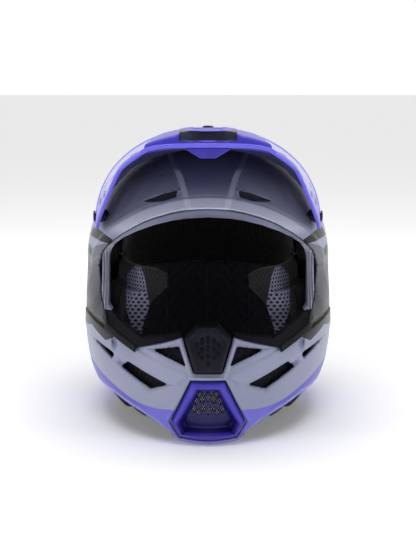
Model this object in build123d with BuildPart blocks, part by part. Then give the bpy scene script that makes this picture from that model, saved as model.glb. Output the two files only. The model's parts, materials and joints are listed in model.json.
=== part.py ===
"""Motocross helmet with an adjustable peak, a removable lining and a double-D-ring chin strap.

Frame: millimetres, +Z up, the wearer looks along -Y and +X is the viewer's right as they face the helmet.
The origin is the centre of the neck opening on the plane that the helmet stands on.
"""

import os
from functools import lru_cache
from math import cos, pi, radians, sin

from build123d import *

# Driving dimensions
DOME_CENTRE_Z = 150.0  # height of the widest part of the skull
DOME_RADIUS = 122.5  # half width of the shell there, and its rise above it
DOME_LENGTH = 141.5  # half length of the skull
CENTRE_Y = 1.5  # middle of the skull, behind the origin
SHELL_WALL = 4.0
TRIM_PROUD = 1.5  # how far the rubber edging and the gasket stand outside the shell
GUARD_PROUD = 3.0  # how far the nose guard and the chin scoop do
TRIM_DEPTH = 12.0  # the inner faces below are all measured in from the shell's outer face
FOAM_FACE = 4.5  # outer face of the impact foam
FOAM_BACK = 30.0
CHIN_FOAM_FACE = 7.0
CHEEK_FOAM_BACK = 24.0
CHEEK_PAD_FACE = 24.5
CHEEK_PAD_BACK = 46.0
LINING_FACE = 30.5
LINING_BACK = 39.0
CHEEK_TOP_Z = 127.4  # the cheek's foam ends here, and the skull's starts just above it
CHEEK_PAD_TOP_Z = 150.0  # the inner part of the cheek pad runs up over the skull's foam
CROWN_FRONT_Z = 155.0  # lower edge of the crown pad in front of the ears
MIDDLE_GAP = 0.1  # half the gap between a right-hand and a left-hand piece that meet
EDGE_Z = 3.0  # lower edge of the shell behind the chin, inside its rubber edging
FRONT_Y = -250.0  # in front of everything
PIVOT_Y, PIVOT_Z = -60.0, 197.0  # axis of the peak's side screws
PEAK_WALL = 2.5
PEAK_ARC = 85.6  # outer radius, about the pivot, of the land that slides under the centre screw
POST_LEAN = 8.0  # degrees the centre screw leans back
POST_ROOT = 58.0  # from the pivot to the buried end of the centre screw's insert
SCREW_RADIUS = 3.0
BORE_RADIUS = 3.05
BARREL_RADIUS = 4.0  # of the inserts that the screws bite in
BARREL_HOLE = 4.2
STRAP_Y = 17.0  # middle of the chin strap
STRAP_WIDTH = 25.0
STRAP_WALL = 2.2
STRAP_ROOT_X = 84.0  # where the free halves of the strap leave the lining
STRAP_ROOT_Z = 10.0
RIVET_Z = 80.0
RIVET_RADIUS = 2.5
RIVET_HOLE = 2.6
RIVET_FACE_X = 124.6  # the shell's side where the rivets pass through it
RING_WIRE = 1.5
RING_X = -26.0  # bars of the two rings
RING_RISE = 2.15  # of each ring's plane above or below the strap's middle
FOLD_X = 14.0
FOLD_RADIUS = 2.4
TAIL_END_X = 74.0
SNAP_X = 60.0
SNAP_RADIUS = 2.0

# Level sections of the lower body: height, half width, reach to the front, reach to the back, and
# the exponent of the front half, which is a little pointed near the base.
LEVELS = [
    (-20.0, 84.0, 170.0, 92.0, 1.70),
    (0.0, 90.0, 177.0, 100.0, 1.75),
    (14.0, 101.0, 184.0, 112.0, 1.85),
    (30.0, 112.0, 188.0, 122.0, 1.95),
    (55.0, 121.0, 189.5, 132.0, 2.0),
    (85.0, 124.5, 187.0, 139.0, 2.0),
    (115.0, 124.0, 168.0, 141.5, 2.0),
    (DOME_CENTRE_Z, DOME_RADIUS, DOME_LENGTH, DOME_LENGTH, 2.0),
]
DOME_ANGLES = [18, 36, 52, 66, 77, 84]


def superellipse(half_width, reach, exponent, start, end, steps):
    """Points on a superellipse about the skull's middle, from one angle to another in degrees."""
    points = []
    for i in range(steps + 1):
        angle = radians(start + (end - start) * i / steps)
        c, s = cos(angle), sin(angle)
        x = half_width * abs(c) ** (2 / exponent) * (1 if c > 0 else -1)
        y = reach * abs(s) ** (2 / exponent) * (1 if s > 0 else -1)
        points.append((0.0 if abs(c) < 1e-9 else x, CENTRE_Y + (0.0 if abs(s) < 1e-9 else y)))
    return points


@lru_cache(maxsize=None)
def helmet_form(inset):
    """The helmet's closed outer form, drawn in by inset on every side. It runs below the base."""
    levels = [(z, a - inset, f - inset, b - inset, n) for z, a, f, b, n in LEVELS]
    for angle in DOME_ANGLES:
        c, s = cos(radians(angle)), sin(radians(angle))
        length = (DOME_LENGTH - inset) * c
        levels.append(
            (DOME_CENTRE_Z + (DOME_RADIUS - inset) * s, (DOME_RADIUS - inset) * c, length, length, 2.0)
        )
    with BuildPart() as form:
        for z, half_width, front, back, exponent in levels:
            with BuildSketch(Plane.XY.offset(z)):
                with BuildLine():
                    Spline(
                        superellipse(half_width, front, exponent, 0, -180, 12),
                        tangents=[(0, -1), (0, 1)],
                    )
                    Spline(
                        superellipse(half_width, back, 2.0, 180, 0, 12),
                        tangents=[(0, 1), (0, -1)],
                    )
                make_face()
        loft()
        split(bisect_by=Plane.YZ)
        mirror(about=Plane.YZ)
    return form.part


def front_prism(outline, corner, near_y, far_y, mirrored=False, grow=0.0):
    """An outline in X and Z, with rounded corners, extruded from near_y to far_y."""
    with BuildPart() as prism:
        with BuildSketch(Plane.XZ.offset(-near_y)):
            with BuildLine():
                Polyline(*outline, close=True)
            make_face()
            fillet(vertices(), radius=corner)
            if grow:
                offset(amount=grow)
        extrude(amount=near_y - far_y)
        if mirrored:
            mirror(about=Plane.YZ)
    return prism.part


def slab(x_size, y_low, y_high, z_low, z_high):
    """A plain block about the middle plane."""
    with BuildPart() as block:
        with Locations((0, (y_low + y_high) / 2, (z_low + z_high) / 2)):
            Box(x_size, y_high - y_low, z_high - z_low)
    return block.part


def slab_between(x_low, x_high, y_low, y_high, z_low, z_high):
    """A plain block between two opposite corners."""
    with BuildPart() as block:
        with Locations(((x_low + x_high) / 2, (y_low + y_high) / 2, (z_low + z_high) / 2)):
            Box(x_high - x_low, y_high - y_low, z_high - z_low)
    return block.part


def post_at(distance):
    """A place on the centre screw's axis, that far from the peak's pivot, facing outwards."""
    lean = radians(POST_LEAN)
    return Location(
        (0, PIVOT_Y + distance * sin(lean), PIVOT_Z + distance * cos(lean)), (-POST_LEAN, 0, 0)
    )


def across(x, y, z):
    """A place whose own axis lies along X."""
    return Location((x, y, z), (0, 90, 0))


def eyeport(rise, half_width, low_points, top, corner_z, near_y=-20.0):
    """The eye port's outline: an arched brow, upright sides and a lower edge given by its points."""
    side = half_width
    with BuildPart() as prism:
        with BuildSketch(Plane.XZ.offset(-near_y)):
            with BuildLine():
                ThreePointArc((-side, corner_z), (0, top), (side, corner_z))
                Polyline((side, corner_z), (side, rise), *low_points)
                Polyline(*[(-x, z) for x, z in low_points[::-1]], (-side, rise), (-side, corner_z))
            make_face()
        extrude(amount=near_y - FRONT_Y)
    return prism.part


# Outlines seen from the front, right-hand half, as X and Z
NOSE_RIGHT = [(8.5, 110.5), (15.5, 103.8), (22.3, 99.0), (12.6, 68.8)]
NOSE = NOSE_RIGHT + [(-x, z) for x, z in NOSE_RIGHT[::-1]]
SHELL_PORT_LOW = [(94.0, 101.0), (65.0, 86.8), (23.0, 99.3), (13.0, 68.2), (0.0, 68.2)]
TRIM_PORT_LOW = [(93.4, 101.3), (65.0, 87.6), (23.4, 99.8), (23.4, 104.5), (0.0, 104.5)]
CLEAR_PORT_LOW = [(84.5, 107.0), (59.0, 95.0), (34.0, 100.2), (16.2, 104.0), (0.0, 104.0)]
CHIN_HEX = [(15.5, 62.0), (34.5, 22.0), (25.5, 5.0), (-25.5, 5.0), (-34.5, 22.0), (-15.5, 62.0)]
CHIN_MOUTH = [(10.5, 55.0), (28.5, 21.0), (24.4, 9.5), (-24.4, 9.5), (-28.5, 21.0), (-10.5, 55.0)]
CHIN_UPPER_VENT = [(47.5, 86.0), (26.0, 90.0), (20.6, 75.0)]
CHIN_LOWER_VENT = [(73.0, 71.3), (38.0, 56.6), (52.0, 50.8), (78.6, 65.2)]
CHIN_SIDE_VENT = [(105.0, 80.9), (88.5, 74.6), (89.6, 70.8)]
BROW_VENT = [(59.0, 214.9), (42.0, 221.3), (28.7, 224.8), (30.0, 219.6), (42.0, 215.8)]
REAR_UPPER_VENT = [(16.0, 226.0), (44.0, 217.0), (46.0, 208.0), (18.0, 216.0)]
REAR_LOWER_VENT = [(26.0, 96.0), (62.0, 104.0), (60.0, 92.0), (28.0, 84.0)]

shell_port = eyeport(112.0, 100.0, SHELL_PORT_LOW, 209.8, 166.8)
trim_port = eyeport(112.2, 99.6, TRIM_PORT_LOW, 209.4, 166.8)
clear_port = eyeport(116.0, 95.0, CLEAR_PORT_LOW, 202.0, 170.0)
UPWARDS = (Align.CENTER, Align.CENTER, Align.MIN)

# Outer shell
with BuildPart() as shell:
    add(helmet_form(0.0))
    add(helmet_form(SHELL_WALL), mode=Mode.SUBTRACT)
    add(slab(400, -60, 200, -30, EDGE_Z + 0.1), mode=Mode.SUBTRACT)
    add(slab(400, -300, -59, -30, 0.0), mode=Mode.SUBTRACT)
    add(shell_port, mode=Mode.SUBTRACT)
    add(front_prism(CHIN_UPPER_VENT, 1.5, -40.0, FRONT_Y, True), mode=Mode.SUBTRACT)
    add(front_prism(CHIN_LOWER_VENT, 1.2, -40.0, FRONT_Y, True), mode=Mode.SUBTRACT)
    add(front_prism(CHIN_SIDE_VENT, 0.6, -40.0, FRONT_Y, True), mode=Mode.SUBTRACT)
    add(front_prism(CHIN_HEX, 3.0, -40.0, FRONT_Y), mode=Mode.SUBTRACT)
    add(front_prism(BROW_VENT, 0.8, -20.0, FRONT_Y, True), mode=Mode.SUBTRACT)
    add(front_prism(REAR_UPPER_VENT, 2.5, 160.0, 30.0, True), mode=Mode.SUBTRACT)
    add(front_prism(REAR_LOWER_VENT, 2.5, 160.0, 30.0, True), mode=Mode.SUBTRACT)
    with Locations(across(0, PIVOT_Y, PIVOT_Z)):
        Cylinder(BARREL_HOLE, 300, mode=Mode.SUBTRACT)
    with Locations(across(0, STRAP_Y, RIVET_Z)):
        Cylinder(RIVET_HOLE, 300, mode=Mode.SUBTRACT)
    with Locations(post_at(POST_ROOT)):
        Cylinder(BARREL_HOLE, 30, align=UPWARDS, mode=Mode.SUBTRACT)

# Rubber edging round the neck opening: a channel over the shell's lower edge
with BuildPart() as base_trim:
    add(helmet_form(-TRIM_PROUD))
    add(helmet_form(5.5), mode=Mode.SUBTRACT)
    add(slab(400, -59.4, 300, 0.0, 9.0), mode=Mode.INTERSECT)
    add(shell.part, mode=Mode.SUBTRACT)

# Gasket round the eye port, in an upper and a lower length
with BuildPart() as gasket:
    add(helmet_form(-TRIM_PROUD))
    add(helmet_form(TRIM_DEPTH), mode=Mode.SUBTRACT)
    add(trim_port, mode=Mode.INTERSECT)
    add(clear_port, mode=Mode.SUBTRACT)
with BuildPart() as eyeport_trim_upper:
    add(gasket.part)
    add(slab(400, FRONT_Y, 0, 112.3, 300), mode=Mode.INTERSECT)
with BuildPart() as eyeport_trim_lower_right:
    add(gasket.part)
    add(slab_between(10.0, 140.0, FRONT_Y, 0, 0, 111.9), mode=Mode.INTERSECT)

# Nose guard, on the middle of the chin bar
with BuildPart() as nose_guard:
    add(helmet_form(-GUARD_PROUD))
    add(helmet_form(TRIM_DEPTH), mode=Mode.SUBTRACT)
    add(front_prism(NOSE, 1.5, -60.0, FRONT_Y, grow=-0.4), mode=Mode.INTERSECT)

# Chin intake: a scoop in the chin's six-sided opening and the filter inside it
with BuildPart() as chin_vent_insert:
    add(helmet_form(-GUARD_PROUD))
    add(helmet_form(TRIM_DEPTH), mode=Mode.SUBTRACT)
    add(front_prism(CHIN_HEX, 3.0, -60.0, FRONT_Y, grow=-0.4), mode=Mode.INTERSECT)
    add(front_prism(CHIN_MOUTH, 2.0, -60.0, FRONT_Y), mode=Mode.SUBTRACT)
    add(slab(400, -300, 0, -40, 0), mode=Mode.SUBTRACT)
with BuildPart() as chin_filter:
    add(helmet_form(4.5))
    add(helmet_form(7.0), mode=Mode.SUBTRACT)
    add(front_prism(CHIN_MOUTH, 2.0, -60.0, FRONT_Y, grow=-0.3), mode=Mode.INTERSECT)

# Mesh screens: one behind each side of the chin's vents, and one in each brow and rear vent
with BuildPart() as chin_side_mesh_right:
    add(helmet_form(4.5))
    add(helmet_form(6.2), mode=Mode.SUBTRACT)
    add(slab_between(24.5, 107.0, FRONT_Y, -95.0, 48.5, 91.0), mode=Mode.INTERSECT)
    add(shell_port, mode=Mode.SUBTRACT)
    add(front_prism(CHIN_HEX, 3.0, -60.0, FRONT_Y, grow=0.6), mode=Mode.SUBTRACT)


def vent_plug(outline, corner, near_y, far_y):
    """A thin panel that follows the shell, inside one of its vents on the right-hand side."""
    with BuildPart() as plug:
        add(helmet_form(1.2))
        add(helmet_form(3.0), mode=Mode.SUBTRACT)
        add(front_prism(outline, corner, near_y, far_y, grow=-0.3), mode=Mode.INTERSECT)
    return plug


brow_mesh_right = vent_plug(BROW_VENT, 0.8, -20.0, FRONT_Y)
rear_upper_grille_right = vent_plug(REAR_UPPER_VENT, 2.5, 160.0, 30.0)
rear_lower_grille_right = vent_plug(REAR_LOWER_VENT, 2.5, 160.0, 30.0)

# Impact foam: over the skull, in the chin bar and in each cheek
with BuildPart() as strap_channel:
    add(helmet_form(4.0))
    add(helmet_form(12.0), mode=Mode.SUBTRACT)
    add(slab(400, 3.0, 31.0, 17.0, 94.0), mode=Mode.INTERSECT)
with BuildPart() as impact_liner_right:
    add(helmet_form(FOAM_FACE))
    add(helmet_form(FOAM_BACK), mode=Mode.SUBTRACT)
    add(slab_between(MIDDLE_GAP, 200, -300, 300, 18.0, 300), mode=Mode.INTERSECT)
    add(slab(400, -300, 3.0, -60, CHEEK_TOP_Z + 0.6), mode=Mode.SUBTRACT)
    add(shell_port, mode=Mode.SUBTRACT)
    add(strap_channel.part, mode=Mode.SUBTRACT)
    with Locations(across(97.0, PIVOT_Y, PIVOT_Z)):
        Cylinder(BARREL_RADIUS + 1.0, 26.0, mode=Mode.SUBTRACT)
    with Locations(post_at(POST_ROOT - 1.0)):
        Cylinder(BARREL_RADIUS + 1.0, 30, align=UPWARDS, mode=Mode.SUBTRACT)
with BuildPart() as chin_foam:
    add(helmet_form(CHIN_FOAM_FACE))
    add(helmet_form(CHEEK_FOAM_BACK), mode=Mode.SUBTRACT)
    add(slab(400, FRONT_Y, -93.0, 10.0, 125.0), mode=Mode.INTERSECT)
    add(shell_port, mode=Mode.SUBTRACT)
    add(front_prism(NOSE, 1.5, -60.0, FRONT_Y, grow=0.4), mode=Mode.SUBTRACT)
    add(front_prism(CHIN_HEX, 3.0, -60.0, FRONT_Y, grow=0.6), mode=Mode.SUBTRACT)
with BuildPart() as cheek_foam_right:
    add(helmet_form(FOAM_FACE))
    add(helmet_form(CHEEK_FOAM_BACK), mode=Mode.SUBTRACT)
    add(slab_between(20.0, 140.0, -92.4, 2.4, 12.0, CHEEK_TOP_Z), mode=Mode.INTERSECT)
    add(shell_port, mode=Mode.SUBTRACT)

# Comfort lining
with BuildPart() as cheek_pad_right:
    add(helmet_form(CHEEK_PAD_FACE))
    add(helmet_form(CHEEK_PAD_BACK), mode=Mode.SUBTRACT)
    add(slab_between(20.0, 140.0, -92.4, 2.4, 14.0, CHEEK_PAD_TOP_Z), mode=Mode.INTERSECT)
    with BuildPart(mode=Mode.SUBTRACT):
        add(slab_between(20.0, 140.0, -100.0, 10.0, CHEEK_TOP_Z, CHEEK_PAD_TOP_Z + 10.0))
        add(helmet_form(LINING_FACE + 0.5), mode=Mode.SUBTRACT)
    add(shell_port, mode=Mode.SUBTRACT)
with BuildPart() as crown_pad_right:
    add(helmet_form(LINING_FACE))
    add(helmet_form(LINING_BACK), mode=Mode.SUBTRACT)
    add(slab_between(MIDDLE_GAP, 200, -300, 300, 132.0, 300), mode=Mode.INTERSECT)
    add(slab(400, -300, 5.0, 100, CROWN_FRONT_Z), mode=Mode.SUBTRACT)
    add(shell_port, mode=Mode.SUBTRACT)
with BuildPart() as nape_pad:
    add(helmet_form(LINING_FACE))
    add(helmet_form(LINING_BACK), mode=Mode.SUBTRACT)
    add(slab(400, 36.0, 300, 34.0, 131.5), mode=Mode.INTERSECT)
with BuildPart() as neck_roll:
    add(helmet_form(7.0))
    add(helmet_form(30.5), mode=Mode.SUBTRACT)
    add(slab(400, 36.0, 300, 5.0, 17.5), mode=Mode.INTERSECT)
with BuildPart() as release_tab_right:
    with Locations((64.0, -45.0, 9.5)):
        Box(1.6, 22.0, 8.0)

# Chin strap: anchors riveted to the shell, two free halves, two rings and a snap
STRAP_NEAR, STRAP_FAR = STRAP_Y - STRAP_WIDTH / 2, STRAP_Y + STRAP_WIDTH / 2
with BuildPart() as strap_anchor_right:
    add(helmet_form(4.5))
    add(helmet_form(7.0), mode=Mode.SUBTRACT)
    add(slab_between(60.0, 140.0, STRAP_NEAR, STRAP_FAR, 12.0, 92.0), mode=Mode.INTERSECT)
    with Locations(across(0, STRAP_Y, RIVET_Z)):
        Cylinder(RIVET_HOLE, 300, mode=Mode.SUBTRACT)
with BuildPart() as strap_rivet_right:
    with Locations(across(RIVET_FACE_X + 1.0, STRAP_Y, RIVET_Z)):
        Cylinder(6.5, 1.0, align=(Align.CENTER, Align.CENTER, Align.MAX))
    with Locations(across(RIVET_FACE_X + 0.5, STRAP_Y, RIVET_Z)):
        Cylinder(RIVET_RADIUS, 9.4, align=(Align.CENTER, Align.CENTER, Align.MAX))
    with Locations(across(RIVET_FACE_X - 7.9, STRAP_Y, RIVET_Z)):
        Cylinder(5.0, 1.3, align=(Align.CENTER, Align.CENTER, Align.MAX))
with BuildPart() as chin_strap_rings:
    with Locations(((RING_X - STRAP_ROOT_X) / 2, STRAP_Y, STRAP_ROOT_Z)):
        Box(STRAP_ROOT_X + RING_X, STRAP_WIDTH, STRAP_WALL)
    with Locations(Location((-STRAP_ROOT_X, STRAP_Y, STRAP_ROOT_Z), (90, 0, 0))):
        Cylinder(STRAP_WALL / 2, STRAP_WIDTH)
    with Locations((RING_X, STRAP_Y, STRAP_ROOT_Z)):
        Box(6.0, STRAP_WIDTH, 4 * RING_RISE + 0.8)
    with BuildSketch(Plane.XZ):
        with Locations((RING_X, STRAP_ROOT_Z - RING_RISE), (RING_X, STRAP_ROOT_Z + RING_RISE)):
            Circle(RING_WIRE + 0.05)
    extrude(amount=100, both=True, mode=Mode.SUBTRACT)
with BuildPart() as chin_strap_tail:
    with BuildSketch(Plane.XZ.offset(-STRAP_FAR)):
        with Locations(((STRAP_ROOT_X + FOLD_X) / 2, STRAP_ROOT_Z - FOLD_RADIUS)):
            Rectangle(STRAP_ROOT_X - FOLD_X, STRAP_WALL)
        with Locations((STRAP_ROOT_X, STRAP_ROOT_Z - FOLD_RADIUS)):
            Circle(STRAP_WALL / 2)
        with Locations(((TAIL_END_X + FOLD_X) / 2, STRAP_ROOT_Z + FOLD_RADIUS)):
            Rectangle(TAIL_END_X - FOLD_X, STRAP_WALL)
        with Locations((FOLD_X, STRAP_ROOT_Z)):
            Circle(FOLD_RADIUS + STRAP_WALL / 2)
        with Locations((FOLD_X, STRAP_ROOT_Z)):
            Circle(FOLD_RADIUS - STRAP_WALL / 2, mode=Mode.SUBTRACT)
        with Locations((FOLD_X + 6.0, STRAP_ROOT_Z)):
            Rectangle(12.0, 2 * FOLD_RADIUS - STRAP_WALL, mode=Mode.SUBTRACT)
    extrude(amount=STRAP_WIDTH)
    with Locations((SNAP_X, STRAP_Y, STRAP_ROOT_Z)):
        Cylinder(SNAP_RADIUS, 30, mode=Mode.SUBTRACT)
with BuildPart() as strap_snap:
    with Locations((SNAP_X, STRAP_Y, STRAP_ROOT_Z)):
        Cylinder(SNAP_RADIUS - 0.1, 2 * FOLD_RADIUS + STRAP_WALL + 1.0)
    with Locations((SNAP_X, STRAP_Y, STRAP_ROOT_Z - 4.5), (SNAP_X, STRAP_Y, STRAP_ROOT_Z + 4.5)):
        Cylinder(6.0, 1.6)


def d_ring(z):
    """A wire ring whose straight bar turns in the strap's stitched end."""
    with BuildPart() as ring:
        with BuildLine() as path:
            FilletPolyline(
                (RING_X, STRAP_Y + 5.0, z),
                (RING_X, STRAP_Y + 17.0, z),
                (RING_X + 11.0, STRAP_Y + 17.0, z),
                (RING_X + 18.0, STRAP_Y + 8.0, z),
                (RING_X + 18.0, STRAP_Y - 8.0, z),
                (RING_X + 11.0, STRAP_Y - 17.0, z),
                (RING_X, STRAP_Y - 17.0, z),
                (RING_X, STRAP_Y - 5.0, z),
                radius=3.5,
            )
        with BuildSketch(Plane((RING_X, STRAP_Y + 5.0, z), x_dir=(1, 0, 0), z_dir=(0, 1, 0))):
            Circle(RING_WIRE)
        sweep(path=path.wires()[0])
        with BuildSketch(Plane((RING_X, STRAP_Y, z), x_dir=(1, 0, 0), z_dir=(0, 1, 0))):
            Circle(RING_WIRE)
        extrude(amount=6.0, both=True)
    return ring


d_ring_lower = d_ring(STRAP_ROOT_Z - RING_RISE)
d_ring_upper = d_ring(STRAP_ROOT_Z + RING_RISE)

# Peak: arches across it at distances along it, each with its half width, foot height and rise
ARCHES = [
    (-238.0, 56.0, 262.0, 12.5),
    (-190.0, 78.0, 240.0, 31.0),
    (-120.0, 99.0, 200.0, 69.5),
    (-62.0, 109.0, 190.0, 88.0),
    (-16.0, 110.5, 190.0, 90.5),
]
PEAK_SIDE = [
    (-238.0, 266.0),
    (-190.0, 249.0),
    (-120.0, 207.5),
    (-80.0, 187.0),
    (-60.0, 184.5),
    (-50.0, 200.0),
    (-36.0, 225.0),
    (-24.0, 262.0),
    (-20.0, 295.0),
    (-238.0, 295.0),
]


def peak_form(inset):
    """The solid under the peak's arches, drawn in by inset, with legs that run below their feet."""
    with BuildPart() as form:
        for y, half_width, foot, rise in ARCHES:
            a, b = half_width - inset, rise - inset
            arch = [(a * cos(pi * i / 12), foot + b * sin(pi * i / 12)) for i in range(13)]
            with BuildSketch(Plane.XZ.offset(-y)):
                with BuildLine():
                    Spline(*arch, tangents=[(0, 1), (0, -1)])
                    Polyline((-a, foot), (-a, foot - 30), (a, foot - 30), (a, foot))
                make_face()
        loft()
        split(bisect_by=Plane.YZ)
        mirror(about=Plane.YZ)
    return form.part


def about_pivot(radius):
    """A cylinder along the pivot."""
    with BuildPart() as drum:
        with Locations(across(0, PIVOT_Y, PIVOT_Z)):
            Cylinder(radius, 300)
    return drum.part


peak_outer = peak_form(0.0)
peak_inner = peak_form(PEAK_WALL)
with BuildPart() as peak_side:
    with BuildSketch(Plane.YZ):
        with BuildLine():
            Polyline(*PEAK_SIDE, close=True)
        make_face()
    extrude(amount=150, both=True)
with BuildPart() as sheet:
    add(peak_outer)
    add(peak_inner, mode=Mode.SUBTRACT)
    add(peak_side.part, mode=Mode.INTERSECT)
    add(slab(28.0, -86.0, 0.0, 240.0, 300.0), mode=Mode.SUBTRACT)
with BuildPart() as hood:
    add(slab(56.0, -124.0, -84.0, 250.0, 281.5))
    add(peak_inner, mode=Mode.SUBTRACT)
    with BuildPart(mode=Mode.SUBTRACT):
        add(slab(51.0, -130.0, -87.0, 250.0, 279.0))
        add(peak_outer, mode=Mode.SUBTRACT)
with BuildPart() as land:
    add(slab(33.0, -88.0, -31.0, 240.0, 283.3))
    add(about_pivot(PEAK_ARC + 0.7), mode=Mode.INTERSECT)
    add(about_pivot(PEAK_ARC - PEAK_WALL), mode=Mode.SUBTRACT)
    with BuildPart(mode=Mode.SUBTRACT):
        add(slab(28.0, -120.0, 0.0, 240.0, 300.0))
        add(about_pivot(PEAK_ARC), mode=Mode.SUBTRACT)
with BuildPart() as rails:
    add(slab(33.0, -88.0, -26.0, 240.0, 300.0))
    add(slab(28.0, -90.0, 0.0, 240.0, 300.0), mode=Mode.SUBTRACT)
    add(peak_outer, mode=Mode.INTERSECT)
    add(about_pivot(PEAK_ARC - PEAK_WALL), mode=Mode.SUBTRACT)
with BuildPart() as peak:
    add(sheet.part)
    add(hood.part)
    add(land.part)
    add(rails.part)
    with Locations(across(0, PIVOT_Y, PIVOT_Z)):
        Cylinder(BORE_RADIUS, 300, mode=Mode.SUBTRACT)
    with BuildPart(mode=Mode.SUBTRACT):
        add(slab(6.2, PIVOT_Y - 2.0, -32.9, 270.0, 300.0))
with BuildPart() as peak_intake_mesh:
    add(slab(50.4, -116.0, -114.5, 250.0, 278.7))
    add(peak_outer.moved(Location((0, 0, 0.4))), mode=Mode.SUBTRACT)
with BuildPart() as peak_tongue:
    add(slab(24.0, -236.0, -228.0, 262.0, 290.0))
    add(peak_inner.moved(Location((0, 0, -0.4))), mode=Mode.INTERSECT)

# Fixings of the peak: an insert and a screw on each side, and a post with a screw on the crown
with BuildPart() as peak_insert_right:
    with Locations(across(88.0, PIVOT_Y, PIVOT_Z)):
        Cylinder(6.5, 16.6, align=UPWARDS)
    add(helmet_form(-TRIM_PROUD), mode=Mode.SUBTRACT)
    with Locations(across(88.0, PIVOT_Y, PIVOT_Z)):
        Cylinder(BARREL_RADIUS, 16.6, align=UPWARDS)
    with Locations(across(80.0, PIVOT_Y, PIVOT_Z)):
        Cylinder(BORE_RADIUS, 40.0, align=UPWARDS, mode=Mode.SUBTRACT)
with BuildPart() as peak_screw_right:
    with Locations(across(90.0, PIVOT_Y, PIVOT_Z)):
        Cylinder(SCREW_RADIUS, 20.0, align=UPWARDS)
    with Locations(across(109.8, PIVOT_Y, PIVOT_Z)):
        Cylinder(7.0, 2.0, align=UPWARDS)
with BuildPart() as centre_post:
    with Locations(post_at(POST_ROOT)):
        Cylinder(6.5, PEAK_ARC - PEAK_WALL - 0.6 - POST_ROOT, align=UPWARDS)
    add(helmet_form(-TRIM_PROUD), mode=Mode.SUBTRACT)
    with Locations(post_at(POST_ROOT)):
        Cylinder(BARREL_RADIUS, PEAK_ARC - PEAK_WALL - 0.6 - POST_ROOT, align=UPWARDS)
    with Locations(post_at(POST_ROOT - 5.0)):
        Cylinder(2.45, 40.0, align=UPWARDS, mode=Mode.SUBTRACT)
with BuildPart() as centre_screw:
    with Locations(post_at(POST_ROOT + 4.0)):
        Cylinder(2.4, PEAK_ARC + 0.5 - POST_ROOT - 4.0, align=UPWARDS)
    with Locations(post_at(PEAK_ARC + 0.35)):
        Cylinder(6.5, 1.8, align=UPWARDS)

middle_pieces = {
    "shell": shell,
    "base_trim": base_trim,
    "eyeport_trim_upper": eyeport_trim_upper,
    "nose_guard": nose_guard,
    "chin_vent_insert": chin_vent_insert,
    "chin_filter": chin_filter,
    "chin_foam": chin_foam,
    "nape_pad": nape_pad,
    "neck_roll": neck_roll,
    "chin_strap_rings": chin_strap_rings,
    "chin_strap_tail": chin_strap_tail,
    "strap_snap": strap_snap,
    "d_ring_lower": d_ring_lower,
    "d_ring_upper": d_ring_upper,
    "peak": peak,
    "peak_intake_mesh": peak_intake_mesh,
    "peak_tongue": peak_tongue,
    "centre_post": centre_post,
    "centre_screw": centre_screw,
}
right_hand_pieces = {
    "eyeport_trim_lower": eyeport_trim_lower_right,
    "chin_side_mesh": chin_side_mesh_right,
    "brow_mesh": brow_mesh_right,
    "rear_upper_grille": rear_upper_grille_right,
    "rear_lower_grille": rear_lower_grille_right,
    "impact_liner": impact_liner_right,
    "cheek_foam": cheek_foam_right,
    "cheek_pad": cheek_pad_right,
    "crown_pad": crown_pad_right,
    "release_tab": release_tab_right,
    "strap_anchor": strap_anchor_right,
    "strap_rivet": strap_rivet_right,
    "peak_insert": peak_insert_right,
    "peak_screw": peak_screw_right,
}

os.makedirs("parts", exist_ok=True)
for name, piece in middle_pieces.items():
    piece.part.label = name
    export_step(piece.part, f"parts/{name}.step")
for name, piece in right_hand_pieces.items():
    with BuildPart() as twin:
        mirror(piece.part, about=Plane.YZ)
    for side, hand in ((piece, "right"), (twin, "left")):
        side.part.label = f"{name}_{hand}"
        export_step(side.part, f"parts/{name}_{hand}.step")
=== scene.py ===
"""Motocross helmet: the pieces that are seen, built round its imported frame.

The frame's axes hold here too: +Z up, the wearer looks along -Y, and the origin is the centre of the neck
opening on the floor. Shapes are worked out in millimetres and made into meshes in metres.
"""

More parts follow.
